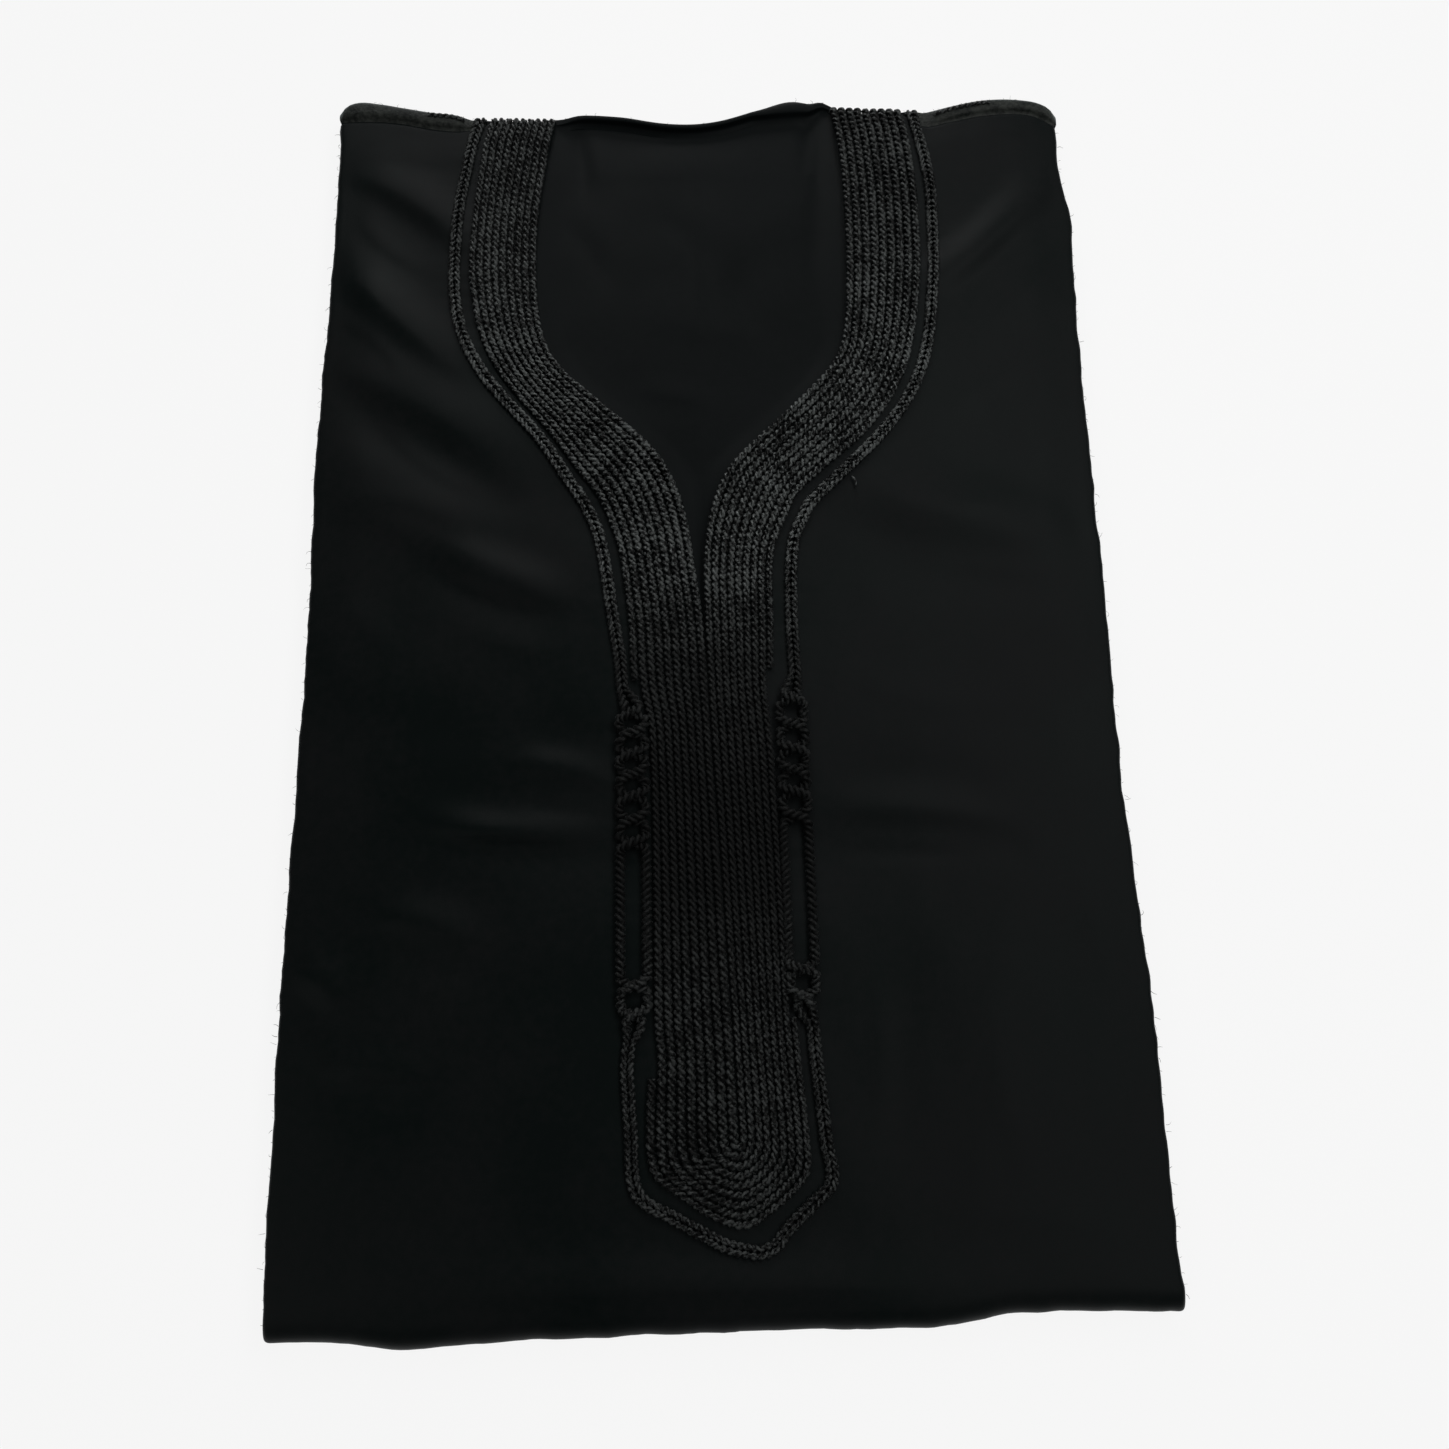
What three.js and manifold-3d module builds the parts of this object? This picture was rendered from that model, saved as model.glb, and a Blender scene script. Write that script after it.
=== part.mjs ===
// A kandora folded flat: sides and sleeves turned to the back, lower half turned under.
// Millimetres. X across the packet, Y from the bottom fold to the shoulders, Z up, rests on z = 0.
import * as THREE from "three";
import Module from "manifold-3d";

const wasm = await Module();
wasm.setup();

// Sizes.
const CLOTH = 1.3;
const SEAM = 0.3;
const LIE = 0.45;
const TOP = 15;
const AXIS = TOP / 2;
const DROOP = 1;
const ROLL = 4.8;
const HOOK = 8;
const BEND_STRETCH = 1.55;
const SIDE_SLOPE = 26;
const END_SLOPE = 16;
const SLIT_END = -9;
const FRONT_SLACK = 10;
const OPENING_DIP = 1.9;
const BACK_WIDTH = 173;
const BACK_DROOP = 0.8 * DROOP;
const LAYER_HALF = 185;
const CORE_GAP = 0.6;
const CORE_HALF = 168;
const ROW_COUNT = 9;
const CORD_FILL = 0.9;
const TAB_FILL = 0.84;
const CORD_HEIGHT = 2.2;
const EDGE_CORD_PITCH = 2.75;
const EDGE_CORD_WIDTH = 2.4;
const EDGE_CORD_HEIGHT = 2;
const CROSSING_LIFT = EDGE_CORD_HEIGHT + 0.45;
const EYELET_HALF = 5;
const SHOULDER_CORD = { width: 2.6, height: 1.6, inFromFold: 3.2, overBack: 1.25 };

// Side edges of the packet, seen from above.
const SIDES = [
  { y: -300, left: -188.2, right: 187.4 },
  { y: -267, left: -189.8, right: 185.6 },
  { y: -236, left: -189.6, right: 186 },
  { y: -171, left: -190.2, right: 186.6 },
  { y: -101, left: -189.6, right: 184.6 },
  { y: -53, left: -189, right: 184.2 },
  { y: 12, left: -188.4, right: 185.8 },
  { y: 94, left: -189.8, right: 186.4 },
  { y: 160, left: -188.4, right: 187.2 },
  { y: 204, left: -187.4, right: 188.9 },
  { y: 228, left: -187.3, right: 190.2 },
  { y: 252, left: -187.3, right: 187.4 },
  { y: 280, left: -187.5, right: 187 },
  { y: 300, left: -187.8, right: 186.2 },
];

// Bottom fold.
const BOTTOM = [
  { x: -190, y: -297 },
  { x: -174, y: -296.3 },
  { x: -158, y: -298 },
  { x: -137, y: -302.2 },
  { x: -114, y: -301.4 },
  { x: -78, y: -300.2 },
  { x: 31, y: -299.7 },
  { x: 79, y: -299.5 },
  { x: 97, y: -297.6 },
  { x: 116, y: -295.3 },
  { x: 159, y: -295.4 },
  { x: 190, y: -296 },
];

// Shoulder end: front is the cut edge of the front panel, fold the turned edge of the back behind it.
const SHOULDER = [
  { x: -190, front: 290.6, fold: 297.6, rise: 1 },
  { x: -179, front: 291.4, fold: 301.4, rise: 1 },
  { x: -168, front: 291.3, fold: 300.2, rise: 1 },
  { x: -157, front: 290, fold: 297.6, rise: 1 },
  { x: -142, front: 286.8, fold: 295, rise: 1 },
  { x: -128, front: 285.2, fold: 293, rise: 1 },
  { x: -118, front: 286.4, fold: 289.4, rise: 0 },
  { x: -108, front: 289, fold: 288, rise: 0 },
  { x: -90, front: 289, fold: 287.8, rise: 0 },
  { x: -76, front: 290, fold: 289.6, rise: 0 },
  { x: -63, front: 291, fold: 292.6, rise: 0.7 },
  { x: -43, front: 291, fold: 290.9, rise: 1 },
  { x: -11, front: 291, fold: 286.3, rise: 1 },
  { x: 10, front: 291, fold: 288.4, rise: 1 },
  { x: 31, front: 292, fold: 295.7, rise: 1 },
  { x: 48, front: 293, fold: 301, rise: 1 },
  { x: 62, front: 294, fold: 298, rise: 0.7 },
  { x: 74, front: 293, fold: 292, rise: 0 },
  { x: 90, front: 291.4, fold: 290.2, rise: 0 },
  { x: 106, front: 291, fold: 290, rise: 0 },
  { x: 118, front: 287.2, fold: 293.8, rise: 0 },
  { x: 133, front: 290.4, fold: 298, rise: 0.9 },
  { x: 152, front: 294.4, fold: 301.8, rise: 1 },
  { x: 176, front: 294.4, fold: 301.2, rise: 1 },
  { x: 190, front: 286, fold: 295, rise: 1 },
];

// Largest folds of the front: a soft ridge (height above 0) or trough along a line.
const FOLDS = [
  { x0: -186, y0: 206, x1: -140, y1: 150, width: 20, height: 1.1 },
  { x0: -168, y0: 245, x1: -128, y1: 208, width: 16, height: -0.9 },
  { x0: -178, y0: 126, x1: -100, y1: 70, width: 17, height: -1.3 },
  { x0: -184, y0: 98, x1: -66, y1: 44, width: 20, height: 1.2 },
  { x0: -124, y0: 32, x1: -80, y1: 12, width: 14, height: -0.9 },
  { x0: -150, y0: -58, x1: -54, y1: -76, width: 20, height: 0.8 },
  { x0: -130, y0: -97, x1: -50, y1: -101, width: 13, height: -0.8 },
  { x0: 48, y0: -99, x1: 130, y1: -101, width: 11, height: -0.8 },
  { x0: -148, y0: -141, x1: -108, y1: -152, width: 13, height: -0.9 },
  { x0: -186, y0: -160, x1: -166, y1: -178, width: 12, height: -0.9 },
  { x0: -162, y0: -204, x1: -126, y1: -210, width: 13, height: -0.8 },
  { x0: 184, y0: 250, x1: 128, y1: 184, width: 16, height: -1.2 },
  { x0: 176, y0: 206, x1: 140, y1: 160, width: 18, height: 0.8 },
  { x0: 70, y0: 82, x1: 168, y1: 57, width: 20, height: 1 },
  { x0: 96, y0: 30, x1: 172, y1: 18, width: 18, height: -0.6 },
  { x0: 130, y0: -130, x1: 138, y1: -262, width: 26, height: 0.7 },
  { x0: 78, y0: -150, x1: 70, y1: -250, width: 18, height: -0.5 },
];

// Neck trim, from the shoulder down to the tab: inner edge, width of the rows,
// distance from the inner edge to the outside of the edge cords, rows side by side.
const LEFT_TRIM = [
  { x: -76.5, y: 288.6, band: 34, edge: 42.5, rows: 9 },
  { x: -79, y: 275, band: 34.5, edge: 43, rows: 9 },
  { x: -80.8, y: 260, band: 34.5, edge: 43.6, rows: 9 },
  { x: -83.5, y: 240, band: 34, edge: 44, rows: 9 },
  { x: -84.8, y: 220, band: 34, edge: 44, rows: 9 },
  { x: -85, y: 200, band: 34.4, edge: 44.6, rows: 9 },
  { x: -84.2, y: 182, band: 33, edge: 44, rows: 9 },
  { x: -82.4, y: 168, band: 31.4, edge: 42, rows: 9 },
  { x: -79.2, y: 156, band: 29, edge: 38.6, rows: 9 },
  { x: -74.6, y: 147, band: 27.4, edge: 36, rows: 9 },
  { x: -68.6, y: 139.4, band: 27.6, edge: 35.6, rows: 9 },
  { x: -61, y: 132, band: 29, edge: 37, rows: 9 },
  { x: -52, y: 123.5, band: 31.4, edge: 39.6, rows: 9 },
  { x: -42, y: 114, band: 34.6, edge: 43.4, rows: 9 },
  { x: -32, y: 104, band: 36.6, edge: 46, rows: 9 },
  { x: -24, y: 94, band: 37.3, edge: 47, rows: 9 },
  { x: -18.2, y: 83, band: 37.5, edge: 47.2, rows: 9 },
  { x: -14.2, y: 72, band: 37.3, edge: 46.8, rows: 9 },
  { x: -11.4, y: 60, band: 36.4, edge: 46, rows: 9 },
  { x: -9.6, y: 48, band: 35.2, edge: 45.4, rows: 9 },
  { x: -7.9, y: 34, band: 35, edge: 45, rows: 9 },
  { x: -6.1, y: 19, band: 35, edge: 44.8, rows: 9 },
  { x: -4.7, y: 4, band: 35.2, edge: 44, rows: 9 },
  { x: -4, y: -10, band: 35.6, edge: 42.8, rows: 9 },
  { x: -3.5, y: -25, band: 34.8, edge: 42.4, rows: 9 },
  { x: -3, y: -40, band: 30.2, edge: 42, rows: 8.5 },
  { x: -2.2, y: -58, band: 28.3, edge: 42, rows: 8 },
  { x: -1, y: -80, band: 29, edge: 42, rows: 8 },
  { x: 0.2, y: -105, band: 30.2, edge: 42, rows: 8 },
  { x: 1.2, y: -130, band: 31.2, edge: 42, rows: 8 },
  { x: 2.3, y: -155, band: 32.4, edge: 42, rows: 8 },
  { x: 3.2, y: -175, band: 34.2, edge: 46, rows: 8.2 },
  { x: 3.9, y: -192, band: 37, edge: 48.8, rows: 9 },
  { x: 4.5, y: -210, band: 38.7, edge: 48.6, rows: 9 },
  { x: 5, y: -226, band: 39.5, edge: 48.2, rows: 9 },
];
const RIGHT_TRIM = [
  { x: 69, y: 291, band: 38, edge: 46.5, rows: 9 },
  { x: 70.8, y: 278, band: 38.2, edge: 46.6, rows: 9 },
  { x: 71.9, y: 262, band: 38.6, edge: 48, rows: 9 },
  { x: 72.4, y: 245, band: 39, edge: 49, rows: 9 },
  { x: 72.4, y: 227, band: 39, edge: 48.8, rows: 9 },
  { x: 72, y: 207, band: 38.8, edge: 48, rows: 9 },
  { x: 71, y: 187, band: 37.6, edge: 47, rows: 9 },
  { x: 69.6, y: 170, band: 36.3, edge: 46.2, rows: 9 },
  { x: 67.2, y: 156, band: 35.3, edge: 45, rows: 9 },
  { x: 62.6, y: 145.5, band: 35.3, edge: 44.6, rows: 9 },
  { x: 55.5, y: 136.2, band: 36.2, edge: 45, rows: 9 },
  { x: 47.2, y: 127.4, band: 36.8, edge: 45.5, rows: 9 },
  { x: 39, y: 119, band: 36, edge: 45.5, rows: 9 },
  { x: 31, y: 111, band: 35.2, edge: 45.4, rows: 9 },
  { x: 23, y: 103.4, band: 35, edge: 45.4, rows: 9 },
  { x: 15.6, y: 96, band: 35.6, edge: 45.8, rows: 9 },
  { x: 9.4, y: 88.4, band: 36.5, edge: 46.6, rows: 9 },
  { x: 4.6, y: 79.6, band: 36.9, edge: 46.8, rows: 9 },
  { x: 1, y: 70, band: 36.4, edge: 46.2, rows: 9 },
  { x: -1.6, y: 60, band: 35.3, edge: 45.4, rows: 9 },
  { x: -3.3, y: 49, band: 33.8, edge: 45, rows: 9 },
  { x: -4.3, y: 35, band: 33, edge: 44.6, rows: 9 },
  { x: -4.3, y: 20, band: 32.6, edge: 44, rows: 9 },
  { x: -4.1, y: 4, band: 32.2, edge: 43.6, rows: 9 },
  { x: -3.7, y: -10, band: 31.2, edge: 43.4, rows: 9 },
  { x: -3.2, y: -25, band: 30.2, edge: 43.2, rows: 9 },
  { x: -2.7, y: -40, band: 28.8, edge: 42, rows: 8.4 },
  { x: -1.9, y: -58, band: 27.9, edge: 42, rows: 8 },
  { x: -0.7, y: -80, band: 27.3, edge: 41, rows: 8 },
  { x: 0.5, y: -105, band: 27, edge: 40, rows: 8 },
  { x: 1.5, y: -130, band: 26.4, edge: 39, rows: 8 },
  { x: 2.6, y: -155, band: 25.6, edge: 38, rows: 8 },
  { x: 3.5, y: -175, band: 26.2, edge: 37.6, rows: 8.4 },
  { x: 4.2, y: -192, band: 28.4, edge: 37.6, rows: 9 },
  { x: 4.8, y: -210, band: 29.3, edge: 38.6, rows: 9 },
  { x: 5.3, y: -226, band: 29.8, edge: 39.4, rows: 9 },
];

// Tab end of the trim, in degrees and millimetres from its turning point.
const TAB_CENTRE = { x: 5.15, y: -226 };
const TAB = [
  { angle: 180, band: 39.6, edge: 48.3 },
  { angle: 190, band: 39.6, edge: 49 },
  { angle: 198, band: 39.2, edge: 50 },
  { angle: 205, band: 37.6, edge: 50.2 },
  { angle: 213, band: 35, edge: 48 },
  { angle: 222, band: 33.2, edge: 44.6 },
  { angle: 234, band: 32.6, edge: 42.6 },
  { angle: 247, band: 32.8, edge: 42.4 },
  { angle: 260, band: 34, edge: 44.2 },
  { angle: 270, band: 35, edge: 45.6 },
  { angle: 279, band: 34.2, edge: 47.2 },
  { angle: 288, band: 32.6, edge: 46.6 },
  { angle: 298, band: 31.3, edge: 43 },
  { angle: 310, band: 31, edge: 41.8 },
  { angle: 322, band: 31.5, edge: 42.4 },
  { angle: 334, band: 32.3, edge: 44.6 },
  { angle: 343, band: 31.6, edge: 43.2 },
  { angle: 352, band: 30.4, edge: 40.6 },
  { angle: 360, band: 29.8, edge: 39.4 },
];

// Where the two edge cords cross each other beside the front opening, from the top down.
const CHAINS = {
  left: {
    centre: -38.6,
    spread: 5.9,
    crossings: [-36, -45, -54.5, -64, -74, -84.5, -95, -158.5, -170.7],
  },
  right: {
    centre: 34.6,
    spread: 4.7,
    crossings: [-33, -45.5, -57, -67.3, -77, -88, -156.4, -168],
  },
};

// Rows of points down the front panel, round its bottom fold and back up underneath.
const PANEL_TOP = 290;
const PANEL_BOTTOM = -300;
const BEND_START = -288;
const PANEL_ROWS = [
  290, 277, 262, 244, 224, 204, 186, 171, 159, 149, 140, 131, 121, 110, 99, 88, 76, 62, 46, 28, 9,
  -9, -32, -56, -80, -101, -124, -148, -172, -198, -226, -252, -272, -286,
];
const BEND_ANGLES = [78, 50, 20, -10, -40, -68, -90];
const UNDER_ROWS = [-200, -40, 120, 240, 283];

// Columns across each half of it, closer together towards the middle, and round each rolled side.
const HALF_COLUMNS = 8;
const CROWDING = 1.15;
const ROLL_STEPS = 3;

// Small helpers.
function clamp(value, low, high) {
  return Math.min(high, Math.max(low, value));
}

function mix(a, b, t) {
  return a + (b - a) * t;
}

function ease(from, to, value) {
  const t = clamp((value - from) / (to - from), 0, 1);
  return t * t * (3 - 2 * t);
}

// Value of one column of a table at a key that rises from row to row, as a smooth curve.
function along(table, key, column, at) {
  const last = table.length - 1;
  const value = clamp(at, table[0][key], table[last][key]);
  let i = 0;
  while (i < last - 1 && table[i + 1][key] < value) i += 1;
  const a = table[Math.max(0, i - 1)];
  const b = table[i];
  const c = table[i + 1];
  const d = table[Math.min(last, i + 2)];
  const span = c[key] - b[key];
  const t = (value - b[key]) / span;
  const slopeB = ((c[column] - a[column]) / (c[key] - a[key])) * span;
  const slopeC = ((d[column] - b[column]) / (d[key] - b[key])) * span;
  const t2 = t * t;
  const t3 = t2 * t;
  const fromB = (2 * t3 - 3 * t2 + 1) * b[column] + (t3 - 2 * t2 + t) * slopeB;
  const fromC = (3 * t2 - 2 * t3) * c[column] + (t3 - t2) * slopeC;
  return fromB + fromC;
}

function toRadians(degrees) {
  return (degrees * Math.PI) / 180;
}

// Neck trim.
// Adds a running station number and the direction across the trim to every row of a table.
function withStations(table, side) {
  return table.map((row, i) => {
    const before = table[Math.max(0, i - 1)];
    const after = table[Math.min(table.length - 1, i + 1)];
    const dx = after.x - before.x;
    const dy = after.y - before.y;
    const length = Math.hypot(dx, dy);
    const level = Math.min(1, 0.1 + i / 4);
    return { ...row, station: i, acrossX: (side * -dy) / length, acrossY: (level * side * dx) / length };
  });
}

const TRIM = {
  left: withStations(LEFT_TRIM, -1),
  right: withStations(RIGHT_TRIM, 1),
};
const LAST_STATION = LEFT_TRIM.length - 1;

function trimPoint(side, station, offset) {
  const table = TRIM[side];
  const ax = along(table, "station", "acrossX", station);
  const ay = along(table, "station", "acrossY", station);
  const length = Math.hypot(ax, ay);
  return {
    x: along(table, "station", "x", station) + (ax / length) * offset,
    y: along(table, "station", "y", station) + (ay / length) * offset,
  };
}

function rowPoint(side, station, row) {
  const band = along(TRIM[side], "station", "band", station);
  const rows = along(TRIM[side], "station", "rows", station);
  const point = trimPoint(side, station, (band * (row - 0.5)) / rows);
  return { ...point, pitch: band / rows, fill: CORD_FILL };
}

// Rows turn round the tab: the inner ones round, the outer ones as pointed as the tab.
function tabPoint(angle, row) {
  const share = (row - 0.5) / ROW_COUNT;
  const radians = toRadians(angle);
  const round = 34.7 - 4.9 * Math.cos(radians);
  const pointed = along(TAB, "angle", "band", angle);
  const radius = mix(round, pointed, share) * share;
  return {
    x: TAB_CENTRE.x + radius * Math.cos(radians),
    y: TAB_CENTRE.y + radius * Math.sin(radians),
    pitch: mix(round, pointed, share) / ROW_COUNT,
    fill: mix(CORD_FILL, TAB_FILL, ease(180, 196, angle) * (1 - ease(340, 360, angle))),
  };
}

// Station whose inner edge lies at a height y.
function stationAt(side, y) {
  const table = side === "left" ? LEFT_TRIM : RIGHT_TRIM;
  let i = 0;
  while (i < table.length - 2 && table[i + 1].y > y) i += 1;
  return clamp(i + (table[i].y - y) / (table[i].y - table[i + 1].y), 0, LAST_STATION);
}

// Inner edge of the neck opening at a height y, as an x.
function openingEdge(side, y) {
  return trimPoint(side, stationAt(side, y), 0).x;
}

// Height of the front.
function foldHeight(x, y) {
  let height = 0;
  for (const fold of FOLDS) {
    const dx = fold.x1 - fold.x0;
    const dy = fold.y1 - fold.y0;
    const t = clamp(((x - fold.x0) * dx + (y - fold.y0) * dy) / (dx * dx + dy * dy), 0, 1);
    const away = Math.hypot(x - fold.x0 - t * dx, y - fold.y0 - t * dy) / fold.width;
    height += fold.height * Math.sin(Math.PI * mix(0.2, 0.8, t)) * Math.exp(-2 * away * away);
  }
  return height;
}

function sideEdge(side, y) {
  return along(SIDES, "y", side, y);
}

function frontHeight(x, y) {
  const fromSide = Math.min(x - sideEdge("left", y), sideEdge("right", y) - x);
  const fromTop = along(SHOULDER, "x", "front", x) - y;
  const flat = ease(0, SIDE_SLOPE, fromSide);
  const calm = flat * ease(-292, -250, y) * ease(0, 30, fromTop);
  const sideDroop = DROOP * (1 - flat);
  const endDroop = DROOP * (1 - ease(0, END_SLOPE, fromTop)) * flat;
  return TOP + foldHeight(x, y) * calm - sideDroop - endDroop;
}

// Distance inside the neck opening and slit, and far below 0 under the slit's end.
function insideOpening(x, y) {
  if (y < SLIT_END + 1) return -99;
  return Math.min(x - openingEdge("left", y), openingEdge("right", y) - x);
}

// Lowest height of the front near a point, for what lies under it.
function lowestFront(x, y, reach) {
  const top = along(SHOULDER, "x", "front", x);
  let lowest = frontHeight(x, Math.min(y, top));
  for (const [dx, dy] of [[reach, reach], [-reach, reach], [reach, -reach], [-reach, -reach]]) {
    lowest = Math.min(lowest, frontHeight(x + dx, Math.min(y + dy, top)));
  }
  return lowest;
}

function openingDip(x, y) {
  return OPENING_DIP * ease(-3, 13, insideOpening(x, y));
}

function backHeight(x, y) {
  return lowestFront(x, y, FRONT_SLACK) - CLOTH - LIE - openingDip(x, y);
}

// Mesh building.
function finish(name, points, triangles, colour) {
  const geometry = new THREE.BufferGeometry();
  const position = new Float32Array(points.length * 3);
  points.forEach((p, i) => {
    position[3 * i] = p.x;
    position[3 * i + 1] = p.y;
    position[3 * i + 2] = p.z;
  });
  geometry.setAttribute("position", new THREE.BufferAttribute(position, 3));
  geometry.setIndex(triangles.flat());
  geometry.computeVertexNormals();
  const material = new THREE.MeshStandardMaterial({ color: colour, roughness: 0.85 });
  const mesh = new THREE.Mesh(geometry, material);
  mesh.name = name;
  return mesh;
}

// Turns an open sheet into a closed shell: its outer face, the same face moved in, and a rim.
function shell(name, outer, faces, thickness, colour) {
  const normals = outer.map(() => new THREE.Vector3());
  const edges = new Map();
  for (const [a, b, c] of faces) {
    const alongEdge = new THREE.Vector3().subVectors(outer[b], outer[a]);
    const faceNormal = alongEdge.cross(new THREE.Vector3().subVectors(outer[c], outer[a]));
    for (const i of [a, b, c]) normals[i].add(faceNormal);
    for (const [p, q] of [[a, b], [b, c], [c, a]]) {
      const back = `${q},${p}`;
      if (edges.has(back)) edges.delete(back);
      else edges.set(`${p},${q}`, [p, q]);
    }
  }
  const count = outer.length;
  const inner = outer.map((p, i) => p.clone().addScaledVector(normals[i].normalize(), -thickness));
  const triangles = faces.map((face) => [...face]);
  for (const [a, b, c] of faces) triangles.push([a + count, c + count, b + count]);
  for (const [p, q] of edges.values()) {
    triangles.push([q, p, p + count]);
    triangles.push([q, p + count, q + count]);
  }
  return finish(name, [...outer, ...inner], triangles, colour);
}

// Front panel.
// One section across the packet: position across, the same kept to the flat part, and how far it drops.
function sectionColumns(y, split, underside) {
  const columns = [];
  for (const side of ["left", "right"]) {
    const sign = side === "left" ? -1 : 1;
    const edge = sideEdge(side, y);
    const radius = ROLL / 2;
    const flatEnd = edge - sign * radius;
    const half = [];
    half.push({ x: flatEnd - sign * HOOK, drop: ROLL });
    for (let i = ROLL_STEPS; i >= 1; i -= 1) {
      const angle = (Math.PI * i) / ROLL_STEPS;
      half.push({ x: flatEnd + sign * radius * Math.sin(angle), drop: radius * (1 - Math.cos(angle)) });
    }
    const middle = mix(openingEdge("left", y), openingEdge("right", y), 0.5);
    const inner = split ? openingEdge(side, y) + sign * 0.5 : middle;
    for (let i = 0; i <= HALF_COLUMNS; i += 1) {
      const t = i / HALF_COLUMNS;
      half.push({ x: mix(flatEnd, inner, 1 - (1 - t) ** CROWDING), drop: 0 });
    }
    for (const column of half) {
      const over = side === "left" ? Math.max(column.x, flatEnd) : Math.min(column.x, flatEnd);
      const level = underside ? TOP - DROOP * (1 - ease(0, SIDE_SLOPE, Math.abs(edge - over))) : null;
      columns.push({ x: column.x, over, drop: column.drop, level });
    }
    if (side === "right") {
      const right = columns.splice(half.length);
      right.reverse();
      columns.push(...right);
    }
  }
  return columns;
}

function frontPanel(colour) {
  const rows = [];
  for (const nominal of PANEL_ROWS) {
    const split = nominal > SLIT_END;
    rows.push(
      sectionColumns(nominal, split, false).map((c) => {
        const up = (along(SHOULDER, "x", "front", c.over) - PANEL_TOP) * ease(236, PANEL_TOP, nominal);
        const down = (along(BOTTOM, "x", "y", c.over) - PANEL_BOTTOM) * ease(-236, -286, nominal);
        const y = nominal + up + down;
        return new THREE.Vector3(c.x, y, frontHeight(c.over, y) - c.drop);
      }),
    );
  }
  for (const angle of BEND_ANGLES) {
    const radians = toRadians(angle);
    rows.push(
      sectionColumns(BEND_START, false, true).map((c) => {
        const reach = c.level - c.drop - AXIS;
        const axisY = along(BOTTOM, "x", "y", c.over) + AXIS * BEND_STRETCH;
        const y = axisY - reach * BEND_STRETCH * Math.cos(radians);
        return new THREE.Vector3(c.x, y, AXIS + reach * Math.sin(radians));
      }),
    );
  }
  for (const nominal of UNDER_ROWS) {
    const columns = sectionColumns(nominal, false, true);
    rows.push(columns.map((c) => new THREE.Vector3(c.x, nominal, 2 * AXIS - (c.level - c.drop))));
  }
  const width = rows[0].length;
  const middle = width / 2;
  const splitRows = PANEL_ROWS.filter((y) => y > SLIT_END).length;
  const points = [];
  const index = rows.map((row, r) =>
    row.map((point, c) => {
      if (c === middle && r >= splitRows) return points.length - 1;
      points.push(point);
      return points.length - 1;
    }),
  );
  const faces = [];
  for (let r = 0; r + 1 < rows.length; r += 1) {
    for (let c = 0; c + 1 < width; c += 1) {
      if (c === middle - 1) continue;
      const a = index[r][c];
      const b = index[r][c + 1];
      const d = index[r + 1][c];
      const e = index[r + 1][c + 1];
      faces.push([a, d, e], [a, e, b]);
    }
  }
  return shell("front", points, faces, CLOTH, colour);
}

// Back panel, inside face up in the neck opening.
const BACK_ROWS = [-46, -12, 20, 50, 78, 104, 128, 150, 172, 196, 220, 242, 262];
const BACK_COLUMNS = [
  -1, -0.92, -0.83, -0.74, -0.64, -0.53, -0.43, -0.33, -0.16,
  0.02, 0.18, 0.31, 0.42, 0.53, 0.64, 0.74, 0.83, 0.92, 1,
];

// Its shoulder edge: down to a groove behind the front's cut edge, up over the fold and back underneath.
// out is the distance past the groove or the fold, up the height, wide the half width there.
const TURNED = [
  { from: "groove", out: -8, up: 0, wide: 171 },
  { from: "groove", out: 0, up: 0, wide: 184 },
  { from: "fold", out: -3.2, up: 1.2, wide: 186 },
  { from: "fold", out: -0.9, up: 0.5, wide: 186.4 },
  { from: "fold", out: 0, up: -1.2, wide: 186.4 },
  { from: "fold", out: -1, up: -2.6, wide: 186.2 },
  { from: "fold", out: -3, up: -3.2, wide: 185 },
  { from: "fold", out: -6.6, up: -3.2, wide: 163 },
];
const GROOVE_OVER = 1.4;
const GROOVE_TO_FOLD = 5.2;

function turnedPoint(step, share, isFirst) {
  const x = share * step.wide;
  const fold = along(SHOULDER, "x", "fold", x);
  const front = along(SHOULDER, "x", "front", x);
  const groove = Math.min(front + GROOVE_OVER, fold - GROOVE_TO_FOLD);
  const y = (step.from === "groove" ? groove : fold) + step.out;
  const level = isFirst ? backHeight(x, y) : TOP - CLOTH - LIE - openingDip(x, 270);
  const rise = step.up > 0 ? along(SHOULDER, "x", "rise", x) : 1;
  return new THREE.Vector3(x, y, level - BACK_DROOP + step.up * rise);
}

function backPanel(colour) {
  const rows = BACK_ROWS.map((y) =>
    BACK_COLUMNS.map((share) => new THREE.Vector3(share * BACK_WIDTH, y, backHeight(share * BACK_WIDTH, y))),
  );
  TURNED.forEach((step, i) => {
    rows.push(BACK_COLUMNS.map((share) => turnedPoint(step, share, i === 0)));
  });
  const width = BACK_COLUMNS.length;
  const points = rows.flat();
  const faces = [];
  for (let r = 0; r + 1 < rows.length; r += 1) {
    for (let c = 0; c + 1 < width; c += 1) {
      const a = r * width + c;
      faces.push([a, a + 1, a + width + 1], [a, a + width + 1, a + width]);
    }
  }
  return shell("back", points, faces, CLOTH, colour);
}

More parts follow.
